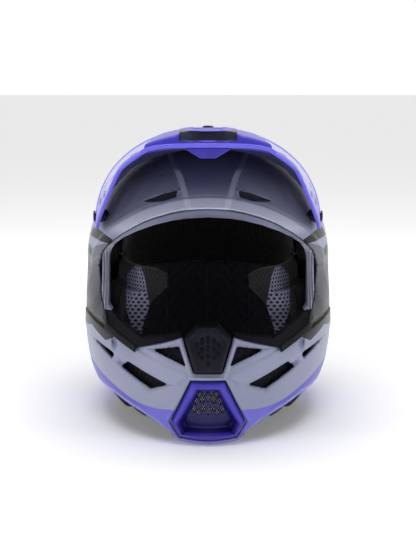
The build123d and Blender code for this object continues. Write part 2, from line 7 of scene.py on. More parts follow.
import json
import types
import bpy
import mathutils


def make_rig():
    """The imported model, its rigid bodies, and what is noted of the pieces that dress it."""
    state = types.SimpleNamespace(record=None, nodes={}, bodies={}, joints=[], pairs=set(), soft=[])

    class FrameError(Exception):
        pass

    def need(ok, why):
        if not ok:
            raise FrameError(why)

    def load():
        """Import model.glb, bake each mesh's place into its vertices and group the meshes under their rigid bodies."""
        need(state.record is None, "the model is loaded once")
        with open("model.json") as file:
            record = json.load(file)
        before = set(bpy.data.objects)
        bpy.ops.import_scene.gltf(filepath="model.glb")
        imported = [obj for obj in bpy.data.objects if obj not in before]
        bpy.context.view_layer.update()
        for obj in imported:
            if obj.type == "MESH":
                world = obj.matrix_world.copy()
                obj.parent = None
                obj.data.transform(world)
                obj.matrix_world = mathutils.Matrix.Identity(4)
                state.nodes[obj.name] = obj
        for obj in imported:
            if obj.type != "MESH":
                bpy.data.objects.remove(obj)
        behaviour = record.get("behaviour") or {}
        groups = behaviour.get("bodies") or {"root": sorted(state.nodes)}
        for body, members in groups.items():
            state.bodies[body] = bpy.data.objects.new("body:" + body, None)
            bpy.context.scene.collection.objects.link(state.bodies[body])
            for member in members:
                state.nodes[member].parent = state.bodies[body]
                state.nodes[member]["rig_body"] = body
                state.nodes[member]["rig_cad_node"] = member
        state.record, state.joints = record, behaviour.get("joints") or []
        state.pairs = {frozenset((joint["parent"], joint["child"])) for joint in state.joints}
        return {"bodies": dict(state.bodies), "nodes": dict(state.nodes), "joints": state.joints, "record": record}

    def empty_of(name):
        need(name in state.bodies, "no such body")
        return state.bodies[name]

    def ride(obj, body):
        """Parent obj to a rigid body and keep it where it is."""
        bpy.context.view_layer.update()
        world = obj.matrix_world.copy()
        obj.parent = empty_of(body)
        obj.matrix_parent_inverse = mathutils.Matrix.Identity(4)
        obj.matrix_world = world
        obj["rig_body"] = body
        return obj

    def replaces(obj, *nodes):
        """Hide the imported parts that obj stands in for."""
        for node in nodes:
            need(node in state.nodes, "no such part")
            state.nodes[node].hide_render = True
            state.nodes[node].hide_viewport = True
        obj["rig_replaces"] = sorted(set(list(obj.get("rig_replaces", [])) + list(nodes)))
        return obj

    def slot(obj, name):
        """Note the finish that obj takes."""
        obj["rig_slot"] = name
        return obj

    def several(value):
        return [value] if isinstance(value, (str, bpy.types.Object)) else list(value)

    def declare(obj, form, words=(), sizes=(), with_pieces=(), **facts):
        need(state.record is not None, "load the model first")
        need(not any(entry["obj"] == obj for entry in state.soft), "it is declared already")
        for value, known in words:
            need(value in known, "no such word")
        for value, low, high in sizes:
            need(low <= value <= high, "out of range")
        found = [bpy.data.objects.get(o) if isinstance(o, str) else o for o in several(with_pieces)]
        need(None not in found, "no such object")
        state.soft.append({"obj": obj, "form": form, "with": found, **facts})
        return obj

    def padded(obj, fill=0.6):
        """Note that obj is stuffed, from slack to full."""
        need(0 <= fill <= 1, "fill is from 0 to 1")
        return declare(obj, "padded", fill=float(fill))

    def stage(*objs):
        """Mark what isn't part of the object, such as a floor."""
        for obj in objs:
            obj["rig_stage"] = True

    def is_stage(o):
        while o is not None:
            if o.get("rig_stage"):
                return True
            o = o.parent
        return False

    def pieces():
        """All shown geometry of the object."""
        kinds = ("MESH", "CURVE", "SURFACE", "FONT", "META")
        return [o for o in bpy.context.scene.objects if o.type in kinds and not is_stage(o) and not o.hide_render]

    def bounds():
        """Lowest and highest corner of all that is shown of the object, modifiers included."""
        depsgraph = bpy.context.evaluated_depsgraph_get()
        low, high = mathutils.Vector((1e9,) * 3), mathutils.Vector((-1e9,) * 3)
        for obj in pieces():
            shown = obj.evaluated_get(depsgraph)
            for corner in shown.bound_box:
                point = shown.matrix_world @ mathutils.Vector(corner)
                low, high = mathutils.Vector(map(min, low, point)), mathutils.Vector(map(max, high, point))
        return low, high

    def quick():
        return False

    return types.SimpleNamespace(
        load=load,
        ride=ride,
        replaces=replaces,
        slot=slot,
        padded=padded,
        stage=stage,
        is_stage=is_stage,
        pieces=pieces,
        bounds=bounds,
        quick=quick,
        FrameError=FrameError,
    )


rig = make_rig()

bl_info = {
    "name": "Motocross helmet",
    "version": (1, 0, 0),
    "blender": (4, 5, 0),
    "location": "View3D > Sidebar > Helmet",
    "description": "Builds a full-face off-road helmet with a tilting peak",
    "category": "Add Mesh",
}

import json
import math

import bmesh
import bpy
import numpy as np
from bpy.props import FloatProperty, FloatVectorProperty, PointerProperty
from mathutils import Vector

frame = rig.load()
CAD_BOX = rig.bounds()
MM = 0.001
PIVOT_Y, PIVOT_Z = -60.0, 197.0  # axis of the peak's side screws
SCREW_X = 109.9  # seat of those screws' heads
POST_LEAN, POST_REACH = math.radians(8), 86.0  # the centre screw leans back, this far from that axis
STRAP_Y, WEB_WIDTH = 17.0, 24.6  # middle and width of the chin strap
RIVET_X, RIVET_Z = 124.5, 80.0
SHELL_WALL, REAR_EXTRA = 3.9, 1.9  # the shell's wall, and how much thicker it is at the back


# ---------------------------------------------------------------- surfaces from distance fields


def steps(start, *runs):
    """Grid lines from start, in runs of (end, spacing)."""
    lines = [start]
    for end, spacing in runs:
        count = max(1, round((end - lines[-1]) / spacing))
        lines += list(np.linspace(lines[-1], end, count + 1)[1:])
    return np.array(lines)


def both_sides(start, *runs):
    """Grid lines that are the same on both sides of the middle plane and miss the plane itself."""
    right = steps(start, *runs)
    return np.concatenate([-right[::-1], right])


def sample(field, axes, block=5):
    """The field on a grid. Blocks that are far from its surface get only its sign."""
    ids, mids, halves = [], [], []
    for line in axes:
        which = np.arange(len(line)) // block
        low = np.array([line[which == b].min() for b in range(which[-1] + 1)])
        high = np.array([line[which == b].max() for b in range(which[-1] + 1)])
        ids.append(which)
        mids.append((low + high) / 2)
        halves.append((high - low) / 2)
    x, y, z = np.meshgrid(*mids, indexing="ij")
    hx, hy, hz = np.meshgrid(*halves, indexing="ij")
    coarse = field(x.ravel(), y.ravel(), z.ravel()).reshape(x.shape)
    near = np.abs(coarse) < 1.7 * np.sqrt(hx**2 + hy**2 + hz**2) + 4.0
    pick = np.ix_(*ids)
    values = np.where(coarse < 0, -1e3, 1e3)[pick]
    i, j, k = np.nonzero(near[pick])
    values[i, j, k] = field(axes[0][i], axes[1][j], axes[2][k])
    return values


def slopes(field, p, h=0.2):
    """The field's gradient at points."""
    out = np.empty_like(p)
    for axis in range(3):
        step = np.zeros(3)
        step[axis] = h
        ahead, behind = p + step, p - step
        out[:, axis] = (field(*ahead.T) - field(*behind.T)) / (2 * h)
    return out


def surface(field, axes):
    """Points, quads and outward normals of the surface where the field is zero."""
    values = sample(field, axes)
    inside = values < 0
    corners = [(i, j, k) for i in (0, 1) for j in (0, 1) for k in (0, 1)]
    shape = [n - 1 for n in values.shape]

    def corner(array, c):
        return array[c[0] : c[0] + shape[0], c[1] : c[1] + shape[1], c[2] : c[2] + shape[2]]

    count = sum(corner(inside, c).astype(np.int8) for c in corners)
    cells = np.stack(np.nonzero((count > 0) & (count < 8)), axis=1)
    ids = np.full(shape, -1, dtype=np.int64)
    ids[tuple(cells.T)] = np.arange(len(cells))
    total, hits = np.zeros((len(cells), 3)), np.zeros(len(cells))
    for a in corners:
        for axis in range(3):
            if a[axis]:
                continue
            b = tuple(1 if n == axis else v for n, v in enumerate(a))
            start, end = cells + a, cells + b
            va, vb = values[tuple(start.T)], values[tuple(end.T)]
            cut = (va < 0) != (vb < 0)
            t = np.where(cut, va / np.where(cut, va - vb, 1), 0)[:, None]
            pa = np.stack([axes[n][start[:, n]] for n in range(3)], axis=1)
            pb = np.stack([axes[n][end[:, n]] for n in range(3)], axis=1)
            total += np.where(cut[:, None], pa + np.clip(t, 0.02, 0.98) * (pb - pa), 0)
            hits += cut
    p = total / hits[:, None]
    size = np.stack([np.diff(axes[n])[cells[:, n]] for n in range(3)], axis=1).min(axis=1)
    for _ in range(3):
        g = slopes(field, p)
        move = field(*p.T) / np.maximum((g**2).sum(axis=1), 0.05)
        limit = 0.35 * size / np.maximum(np.sqrt((g**2).sum(axis=1)), 0.2)
        p = p - np.clip(move, -limit, limit)[:, None] * g
    quads = []
    for axis in range(3):
        u, v = (axis + 1) % 3, (axis + 2) % 3
        here = [slice(None)] * 3
        there = [slice(None)] * 3
        here[axis], there[axis] = slice(0, -1), slice(1, None)
        a, b = inside[tuple(here)], inside[tuple(there)]
        e = np.stack(np.nonzero(a != b), axis=1)
        ok = (e[:, u] > 0) & (e[:, v] > 0) & (e[:, u] < values.shape[u] - 1) & (e[:, v] < values.shape[v] - 1)
        e = e[ok]
        ring = []
        for du, dv in ((-1, -1), (0, -1), (0, 0), (-1, 0)):
            c = e.copy()
            c[:, u] += du
            c[:, v] += dv
            ring.append(ids[tuple(c.T)])
        ring = np.stack(ring, axis=1)
        quads.append(np.where(a[tuple(e.T)][:, None], ring, ring[:, ::-1]))
    g = slopes(field, p, 0.35)
    return p, np.concatenate(quads), g / np.maximum(np.linalg.norm(g, axis=1), 1e-6)[:, None]


def field_piece(name, field, axes, material, values=(), uv=None, mirrored=False):
    """A finished mesh of a field's surface, with named values at its points and a UV map from x, y, z."""
    p, quads, normals = surface(field, axes)
    if mirrored:
        p, normals, quads = p * [-1, 1, 1], normals * [-1, 1, 1], quads[:, ::-1].copy()
    mesh = bpy.data.meshes.new(name)
    mesh.vertices.add(len(p))
    mesh.vertices.foreach_set("co", (p * MM).ravel())
    mesh.loops.add(quads.size)
    mesh.loops.foreach_set("vertex_index", quads.ravel())
    mesh.polygons.add(len(quads))
    mesh.polygons.foreach_set("loop_start", np.arange(0, quads.size, 4))
    mesh.update(calc_edges=True)
    mesh.validate()
    for key, make in dict(values).items():
        mesh.attributes.new(key, "FLOAT", "POINT").data.foreach_set("value", make(*p.T).astype(np.float32))
    if uv is not None:
        flat = np.stack(uv(*p.T), axis=1) * MM
        corner = np.empty(len(mesh.loops), dtype=np.int64)
        mesh.loops.foreach_get("vertex_index", corner)
        mesh.uv_layers.new(name="UVMap").data.foreach_set("uv", flat[corner].ravel())
    mesh.shade_smooth()
    mesh.normals_split_custom_set_from_vertices(normals)
    return finished(name, mesh, material)


def finished(name, mesh, material):
    """An object at the origin that holds the mesh and its material."""
    piece = bpy.data.objects.new(name, mesh)
    bpy.context.scene.collection.objects.link(piece)
    mesh.materials.append(material)
    return piece


# ---------------------------------------------------------------- building blocks of the fields


def ease(t):
    """From 0 to 1, level at both ends."""
    t = np.clip(t, 0, 1)
    return t * t * (3 - 2 * t)


def join(a, b, r):
    """Both solids, with a fillet of about r between them."""
    h = np.clip(0.5 + 0.5 * (b - a) / r, 0, 1)
    return b + (a - b) * h - r * h * (1 - h)


def both(a, b, r):
    """What two solids share, with its edge rounded by about r."""
    return -join(-a, -b, r)


def outline(u, v, points):
    """Distance to a flat polygon, negative inside."""
    points = np.asarray(points, dtype=float)
    best, inside = np.full(np.shape(u), 1e18), np.zeros(np.shape(u), dtype=bool)
    for (au, av), (bu, bv) in zip(points, np.roll(points, -1, axis=0)):
        eu, ev, wu, wv = bu - au, bv - av, u - au, v - av
        t = np.clip((wu * eu + wv * ev) / (eu * eu + ev * ev), 0, 1)
        best = np.minimum(best, (wu - eu * t) ** 2 + (wv - ev * t) ** 2)
        if ev:
            crosses = (av <= v) != (bv <= v)
            inside ^= crosses & (u < au + (v - av) * eu / ev)
    return np.where(inside, -1, 1) * np.sqrt(best)


def along(t, table):
    """A value read from a table of (position, value), in straight runs."""
    return np.interp(t, [row[0] for row in table], [row[1] for row in table])


def curve_slopes(table):
    """Slopes at a table's rows that let a cubic pass through them without overshoot."""
    rows = np.array(table, dtype=float)
    h, d = np.diff(rows[:, 0]), np.diff(rows[:, 1]) / np.diff(rows[:, 0])
    m = np.zeros(len(rows))
    for i in range(1, len(rows) - 1):
        if d[i - 1] * d[i] > 0:
            w1, w2 = 2 * h[i] + h[i - 1], h[i] + 2 * h[i - 1]
            m[i] = (w1 + w2) / (w1 / d[i - 1] + w2 / d[i])
    m[0] = d[0]
    return m


def curve(t, table):
    """A value read from a table of (position, value), on a smooth curve through its rows."""
    rows, m = np.array(table, dtype=float), curve_slopes(table)
    t = np.clip(t, rows[0, 0], rows[-1, 0])
    i = np.clip(np.searchsorted(rows[:, 0], t) - 1, 0, len(rows) - 2)
    h = rows[i + 1, 0] - rows[i, 0]
    s = (t - rows[i, 0]) / h
    a = rows[i, 1] * (2 * s**3 - 3 * s**2 + 1) + h * m[i] * (s**3 - 2 * s**2 + s)
    return a + rows[i + 1, 1] * (3 * s**2 - 2 * s**3) + h * m[i + 1] * (s**3 - s**2)


def levelled(value, x, y, z):
    """An implicit shape's value turned into a distance near its surface."""
    h, v = 0.5, value(x, y, z)
    gx, gy, gz = value(x + h, y, z) - v, value(x, y + h, z) - v, value(x, y, z + h) - v
    return v * h / np.maximum(np.sqrt(gx**2 + gy**2 + gz**2), 1e-5)


# ---------------------------------------------------------------- the helmet's form

MIDDLE_Y, CROWN_BASE = 1.5, 150.0
WIDTHS = [(-20, 84), (0, 90), (14, 101), (30, 112), (55, 121), (85, 124.5), (115, 124), (150, 122.5)]
FRONTS = [(-20, 170), (0, 177), (14, 184), (30, 188), (55, 189.5), (85, 187), (115, 168), (150, 141.5)]
BACKS = [(-20, 92), (0, 100), (14, 112), (30, 122), (55, 132), (85, 139), (115, 141.5), (150, 141.5)]
POWERS = [(-20, 1.7), (0, 1.75), (14, 1.85), (30, 1.95), (55, 2.0), (150, 2.0)]


def form_value(x, y, z):
    """Zero on the helmet's plain outer form, negative inside."""
    low = np.minimum(z, CROWN_BASE)
    ahead = y < MIDDLE_Y
    a = curve(low, WIDTHS)
    b = np.where(ahead, curve(low, FRONTS), curve(low, BACKS))
    n = np.where(ahead, curve(low, POWERS), 2.0)
    up = np.maximum(z - CROWN_BASE, 0) / 122.5
    flat = (np.abs(x) / a) ** n + (np.abs(y - MIDDLE_Y) / b) ** n
    return np.sqrt(flat ** (2 / n) + up**2) - 1


def form(x, y, z):
    """Distance outside the helmet's plain form."""
    return levelled(form_value, x, y, z)


def bearing(x, y, z):
    """Degrees round the helmet: 0 at the chin, 90 at the side, 180 at the back."""
    low = np.clip(z, 0, CROWN_BASE)
    ahead = y < MIDDLE_Y
    b = np.where(ahead, curve(low, FRONTS), curve(low, BACKS))
    return np.degrees(np.arctan2(np.abs(x) / curve(low, WIDTHS), (MIDDLE_Y - y) / b))


# ---------------------------------------------------------------- shell

PORT = [
    (-20, 208.3), (-10, 209.4), (0, 209.8), (10, 209.4), (20, 208.3), (33, 205.8), (50, 200.4), (60, 196),
    (67, 192.4), (76, 186.9), (83, 182), (89, 177.2), (95, 171.5), (100, 165.5), (103.5, 156), (104.2, 145),
    (102, 128), (95, 101), (65, 86.8), (23, 99.3), (13, 68.2), (-20, 68.2)
]
UPPER_RECESS = [(60, 87.6), (24.5, 97.2), (17.6, 69.5)]
UPPER_HOLE = [(47.7, 86), (26.0, 90), (20.6, 75)]
LOWER_RECESS = [(88.5, 68), (83, 74), (29.0, 57.2), (52.7, 44.5)]
LOWER_HOLE = [(73, 71.3), (37.5, 56.6), (52, 50.8), (79, 65)]
SIDE_RECESS = [(117, 84.5), (87, 77.5), (88.8, 68.5)]
SIDE_HOLE = [(106, 80.9), (88.0, 74.6), (89.6, 70.8)]
BEAM = [(124, 106), (96, 98), (65, 86.3), (17.5, 67.5), (17.5, 64), (28, 57), (86, 75.5), (124, 86)]
CHIN_HEX = [(-15.5, 62), (15.5, 62), (34.5, 22), (25.5, 5), (-25.5, 5), (-34.5, 22)]
BROW_HOLE = [(60, 214.6), (42, 221.5), (28.5, 225), (30, 219.4), (42, 215.6)]
REAR_HOLES = ([(16, 226), (44, 217), (46, 208), (18, 216)], [(26, 96), (62, 104), (60, 92), (28, 84)])
PANEL = [(205, 20), (212, 22), (237, 30), (259, 42), (280, 52)]  # forehead panel: height and half width
LIP = [(0, 3.5), (17, 4.5), (25, 18), (36, 29), (51, 37), (66, 38), (80, 26), (100, 10), (120, 0), (180, 0)]
BAND = [
    (0, 33.5), (17, 33.5), (23, 32.5), (28, 32.7), (37, 35.5), (44, 40.6), (52, 46.6), (62, 53), (72, 57),
    (88, 56)
]
BAND += [(110, 42), (180, 32)]
EDGE = [
    (0, 0.6), (17, 0.8), (24, 2.6), (32, 7), (45, 14), (60, 16), (72, 13), (82, 8.5), (92, 4.5), (105, 3.2),
    (180, 3.2)
]
PATCHES = (
    [(112, 186), (90, 177.5), (93, 173), (118, 175)],
    [(126, 152), (119.5, 150), (117, 143), (120, 133), (126, 130)],
    [(126, 119), (112, 108), (97, 100.5), (86, 92), (96, 86), (108, 92), (126, 103)],
    [(126, 170), (116, 165), (112, 158), (118, 156), (126, 160)],
)


def port(x, z):
    return outline(x, z, PORT)


def brow_cover(x, z):
    """Distance to the outline over a brow vent."""
    return outline(x, z, [(64, 212.5), (44, 222.5), (25, 228), (26, 224), (31, 221)])


def relief(x, y, z):
    """How far the moulded shapes stand proud of the plain form, or below it where negative."""
    out = np.zeros_like(x)
    chin = (y < -40) & (z < 112)
    if chin.any():
        cx, cz = x[chin], z[chin]
        r = 1.9 * ease(-outline(cx, cz, BEAM) / 2.6)
        r -= 4.6 * ease(-outline(cx, cz, UPPER_RECESS) / 6.5)
        r -= 4.6 * ease(-outline(cx, cz, LOWER_RECESS) / 7.5)
        r -= 3.4 * ease(-outline(cx, cz, SIDE_RECESS) / 3.6)
        r -= 3.6 * ease(1.25 - np.hypot((cx - 86.6) / 3.4, (cz - 86.5) / 6.2))
        r += 2.0 * ease(1 - np.abs(outline(cx, cz, CHIN_HEX) - 2.2) / 2.6)
        edge = outline(cx, cz, [(15.0, 105.5), (23, 99.3), (13, 67), (-9, 67), (-9, 105.5)])
        r += 1.5 * ease(1 - np.abs(edge - 2.2) / 2.8)
        out[chin] = r
    brow = (y < -20) & (z > 150)
    if brow.any():
        bx, bz = x[brow], z[brow]
        r = 2.4 * ease((along(bz, PANEL) - bx) / 7.5) * ease((bz - 203) / 9)
        r += 3.0 * ease(-brow_cover(bx, bz) / 3.0)
        rim = port(bx, bz)
        r += 2.0 * ease((12.5 - rim) / 3.0) * ease((rim + 1) / 2)
        out[brow] = r
    side = (z >= 100) & (z < 180) & (y < 20)
    if side.any():
        sy, sz = y[side], z[side]
        blade = outline(sy, sz, [(-96, 172), (-52, 150), (-40, 118), (-60, 104), (-110, 100), (-110, 172)])
        out[side] += 1.6 * ease(-blade / 4.0)
    return out


def under_lip(d, turn, z):
    """A distance outside the form, drawn in below the crease of the lip."""
    return both(d, (d + 0.42 * (along(turn, LIP) - z)) / 1.085, 2.2)


def shell_skin(x, y, z):
    """The outer face alone: the form with its moulded shapes, the lip under the chin and the base cut."""
    turn = bearing(x, y, z)
    d = form(x, y, z) - relief(x, y, z)
    d = under_lip(d, turn, z)
    return both(d, (curve(turn, EDGE) - z) * 0.93, 1.6)


def shell_field(x, y, z):
    x = np.abs(x)
    skin = shell_skin(x, y, z)
    wall = SHELL_WALL + REAR_EXTRA * ease((y + 15) / 25) + np.maximum(-relief(x, y, z), 0) * 0.55
    d = both(skin, -(form(x, y, z) + wall), 0.8)
    front, back = y < -15, y > 30
    holes = np.full_like(x, 1e3)
    fx, fz = x[front], z[front]
    cut = port(fx, fz)
    for points, grow in (
        (UPPER_HOLE, 0.6), (LOWER_HOLE, 0.6), (SIDE_HOLE, 0.4), (CHIN_HEX, 0.2), (BROW_HOLE, 0.2)
    ):
        cut = np.minimum(cut, outline(fx, fz, points) - grow)
    holes[front] = cut
    if back.any():
        holes[back] = np.minimum(*(outline(x[back], z[back], points) for points in REAR_HOLES)) - 0.6
    bore = np.minimum(
        np.hypot(y - PIVOT_Y, z - PIVOT_Z), np.where(x > 60, np.hypot(y - STRAP_Y, z - RIVET_Z) + 1.6, 1e3)
    ) - 4.2
    post = np.hypot(x, (y - PIVOT_Y) * math.cos(POST_LEAN) - (z - PIVOT_Z) * math.sin(POST_LEAN)) - 4.2
    holes = np.minimum(holes, np.minimum(bore, np.where(z > 240, post, 1e3)))
    return both(d, -holes, 1.3)


# ---------------------------------------------------------------- peak

LAND = 85.6
ARCH_WIDTH = [(-238, 56), (-190, 78), (-120, 99), (-62, 109), (-16, 110.5)]
ARCH_FOOT = [(-238, 262), (-190, 240), (-120, 200), (-62, 190), (-16, 190)]
ARCH_RISE = [(-238, 12.0), (-190, 31), (-120, 69.5), (-62, 88), (-16, 90.5)]
PEAK_SIDE = [(-237.4, 266), (-190, 249), (-120, 207.5), (-80, 187), (-62, 185), (-50, 200)]
PEAK_SIDE += [(-36, 225), (-24.4, 262), (-21, 290), (-237.4, 290)]
LOUVRES = [(-134, 236), (-118, 229), (-102, 222), (-86, 214), (-116, 243), (-99, 236), (-82, 228), (-68, 218)]


def arch_value(x, y, z):
    w, foot, rise = curve(y, ARCH_WIDTH), curve(y, ARCH_FOOT), curve(y, ARCH_RISE)
    up = np.maximum(z - foot, 0) / rise
    p = 2.15 + 1.3 * ease((-140 - y) / 90)
    return (np.abs(x / w) ** p + up**p) ** (1 / p) - 1


def arch(x, y, z):
    """Distance outside the peak's sheet."""
    return levelled(arch_value, x, y, z)


def deck(x, y, z):
    """The raised middle of the peak, behind its front wall."""
    top = (
        282.2 + 0.8 * ease((30 - x) / 2.5) - 13.2 * (x / 62) ** 2
        + 0.012 * (y - PIVOT_Y) - 0.00035 * (y - PIVOT_Y) ** 2
    )
    wall = -(y + 123.5 - 0.10 * x)
    flank = (x - 60 + 0.10 * (y + 124)) * 0.9
    land = np.hypot(y - PIVOT_Y, z - PIVOT_Z) - LAND
    groove = both(np.maximum(x - 13.9, -(y + 86)), -land, 0.6)
    body = both(both(z - top, wall, 2.5), flank, 3.0)
    return np.maximum(body, -groove)


def peak_field(x, y, z):
    x = np.abs(x)
    side = outline(y, z, PEAK_SIDE)
    skin = arch(x, y, z)
    rim = ease((side + 5.2) / 1.6)
    skin = skin + 1.3 * ease(1 - np.abs(side + 17) / 6) * ease((x - 60) / 8)
    sheet = np.maximum(skin - 0.9 * rim, -(skin + 2.7))
    top = np.maximum(deck(x, y, z), -(skin + 1.2))
    top = np.maximum(top, np.where(z > 240, -1e3, 1e3))
    slot = both(np.maximum(x - 25.9, -(z - 272.6)), z - 279.9, 1.5)
    top = both(top, -np.maximum(slot, y + 106), 0.8)
    d = join(sheet, top, 1.6)
    d = both(d, side, 0.8)
    notch = np.maximum(x - 13.9, -(y + 31.2))
    d = np.maximum(d, -notch)
    screw_slot = np.maximum(x - 3.1, np.abs(y + 47.5) - 14.6)
    d = np.maximum(d, -np.maximum(screw_slot, 250 - z))
    d = np.maximum(d, -np.where(x > 60, np.hypot(y - PIVOT_Y, z - PIVOT_Z) - 3.1, 1e3))
    for ly, lz in LOUVRES:
        u, v = (y - ly) * 0.93 + (z - lz) * 0.37, (z - lz) * 0.93 - (y - ly) * 0.37
        hole = np.maximum(np.abs(v) * 0.9 + np.abs(u) * 0.36 - 2.5 + 0.16 * u, -u - 5)
        d = np.maximum(d, -np.where(x > 60, hole, 1e3))
    return d


def tongue_field(x, y, z):
    """The keel under the middle of the peak's front edge, with its two flanks."""
    x = np.abs(x)
    low = 262.2 + np.maximum(x - 6.5, 0) * 0.62
    d = both(low - z, arch(x, y, z) + 2.7, 0.6)
    return both(both(d, np.abs(y + 231.5) - 4.0, 0.8), x - 19.0, 0.8)


# ---------------------------------------------------------------- gasket, guards and edging

CLEAR = [
    (-20, 200.7), (0, 202), (20, 200.7), (33, 198.5), (50, 193.8), (67, 187), (80, 180.1), (88, 174),
    (93, 166.5), (95, 158), (95, 141), (94, 116), (84.5, 107), (59, 95), (34, 100.2), (22, 103.6), (8.5, 112),
    (-20, 112)
]
NOSE = [
    (-9, 110.5), (9, 110.5), (15.5, 104.2), (21.4, 99), (12.6, 68.8), (-12.6, 68.8), (-21.4, 99),
    (-15.5, 104.2)
]
NOSE_PANEL = [
    (-7.6, 106.5), (7.6, 106.5), (12, 102), (15.4, 97.5), (9.4, 72), (-9.4, 72), (-15.4, 97.5), (-12, 102)
]
MOUTH = [(-10.5, 55), (10.5, 55), (28.5, 21), (24.4, 9.5), (-24.4, 9.5), (-28.5, 21)]
DROPS = [
    (0, 99), (-5.2, 97.5), (5.2, 97.5), (0, 92), (-5.2, 90.5), (5.2, 90.5), (-9.4, 93.5), (9.4, 93.5),
    (0, 85), (-5.2, 83.5), (5.2, 83.5), (-9, 86.8), (9, 86.8), (0, 78)
]
SLOTS = [
    (-8, 47.3), (-3.2, 49), (3.2, 49), (8, 47.3), (-10.8, 41), (10.8, 41), (-5.4, 42.6), (0, 43.6),
    (5.4, 42.6), (-13, 33.4), (-8.2, 31), (0, 31.6), (8.2, 31), (13, 33.4), (-4.2, 35.5), (4.2, 35.5)
]


def gasket(x, y, z):
    """The rubber and plastic round the eye port, before it is parted into lengths."""
    x = np.abs(x)
    rim, clear = port(x, z), outline(x, z, CLEAR)
    fall = ease((0.5 - rim) / np.maximum(clear - rim, 2.0) * 1.0)
    ribs = 0.7 * np.cos(
        (x - 95) * 2 * math.pi / 2.7
    ) * ease((172 - z) / 8) * ease((z - 108) / 6) * ease((x - 88) / 4)
    level = 2.2 - 3.4 * fall + ribs
    skin = form(x, y, z)
    d = both(skin - level, -(skin + 11.8), 1.5)
    d = both(d, rim + 0.15, 0.8)
    d = both(d, -clear, 1.4)
    return np.maximum(d, y + 30)


def upper_gasket(x, y, z):
    return both(gasket(x, y, z), 112.4 - z, 0.6)


def lower_gasket(x, y, z):
    x = np.abs(x)
    lip = both(form(x, y, z) - 4.4, np.abs(port(x, z) - 1.2) - 3.2, 1.2)
    lip = both(both(lip, -(form(x, y, z) - relief(x, y, z) + 0.2), 0.4), np.maximum(66 - x, x - 97), 1.0)
    d = join(gasket(x, y, z), np.maximum(lip, y + 60), 1.0)
    d = both(d, z - 111.8, 0.6)
    return np.maximum(d, 23.8 - x)


def nose_field(x, y, z):
    x = np.abs(x)
    skin, shape, panel = form(x, y, z), outline(x, z, NOSE), outline(x, z, NOSE_PANEL)
    level = 4.2 - 1.5 * ease(-panel / 1.6) - 2.4 * ease((shape + 2.6) / 2.6)
    for dx, dz in DROPS:
        if dx >= 0:
            drop = np.hypot((x - dx) / 1.7, (z - dz) / 3.5 * (1 + 0.12 * (z - dz) * (z > dz)))
            level = level - 1.9 * ease(1.35 - drop)
    d = both(both(skin - level, -(skin + 11.5), 1.0), shape + 0.4, 1.4)
    return np.maximum(d, y + 120)


def scoop_field(x, y, z):
    """The purple scoop: a frame in the chin's opening, walls that run in, and a perforated back."""
    x = np.abs(x)
    skin, hexagon, mouth = form(x, y, z), outline(x, z, CHIN_HEX), outline(x, z, MOUTH)
    level = 1.6 - 2.2 * ease((hexagon + 3.0) / 1.6) + 1.0 * ease(1 - np.abs(mouth - 1.6) / 1.8)
    d = both(both(skin - level, -(skin + 12.0), 0.8), hexagon + 0.7, 1.2)
    depth = np.clip(-skin / 9.5, 0, 1)
    hollow = mouth + 0.4 + 5.5 * depth
    hollow = both(hollow, -(skin + 9.4), 1.5)
    d = both(d, -hollow, 1.0)
    for sx, sz in SLOTS:
        if sx >= 0:
            drop = (np.hypot((x - sx) / 1.75, (z - sz) / 2.9) - 1) * 1.75
            d = np.maximum(d, -drop)
    return np.maximum(np.maximum(d, y + 120), -z)


def edging_field(x, y, z):
    """The soft edging over the shell's lower edge."""
    x = np.abs(x)
    skin = form(x, y, z)
    turn = bearing(x, y, z)
    skin = under_lip(skin, turn, z)
    low = z - np.maximum(curve(turn, EDGE) - 3.2, 0)
    ring = both(both(skin - 1.4, -(skin + 5.4), 1.4), both(low - 8.8, -low, 1.6), 1.6)
    return np.maximum(ring, 60 - turn)


# ---------------------------------------------------------------- foam and lining


def foam_cut(skin, thin, thick):
    """A layer of the form between two depths, with softened edges."""
    return both(skin + thin, -(skin + thick), 1.2)


def skull_foam_field(x, y, z):
    x = np.abs(x)
    skin = form(x, y, z)
    d = foam_cut(skin, 4.6 + REAR_EXTRA * ease((y + 15) / 25), 29.8)
    d = both(d, 18.2 - z, 1.5)
    d = np.maximum(d, -np.maximum(y - 3.0, z - 128.2))
    d = both(d, -np.where(y < -15, port(x, z) - 0.2, 1e3), 2.0)
    channel = np.maximum(np.maximum(np.abs(y - STRAP_Y) - 14, z - 94), -(skin + 12))
    d = np.maximum(d, -channel)
    drum = np.where(x > 84, np.hypot(y - PIVOT_Y, z - PIVOT_Z) - 5, 1e3)
    return np.maximum(d, -np.where(z > 245, np.hypot(x, y + 51) - 6, drum))


def chin_foam_field(x, y, z):
    x = np.abs(x)
    skin = form(x, y, z)
    d = foam_cut(skin, 9.0, 23.8)
    d = both(d, y + 93.4, 2.0)
    d = both(d, np.maximum(10.2 - z, 22 - z + (bearing(x, y, z) - 30) * -0.8), 1.5)
    d = both(d, -np.minimum(port(x, z) - 3.0, outline(x, z, NOSE) - 0.8), 1.5)
    return both(d, -(outline(x, z, CHIN_HEX) - 0.8), 1.2)


def cheek_foam_field(x, y, z):
    skin = form(np.abs(x), y, z)
    d = foam_cut(skin, 4.7, 23.8)
    d = both(d, np.maximum(np.abs(y + 45) - 47.0, np.maximum(14.5 - z, z - 127.2)), 2.0)
    d = both(d, -(port(np.abs(x), z) - 0.2), 1.5)
    return np.maximum(d, 20 - x)


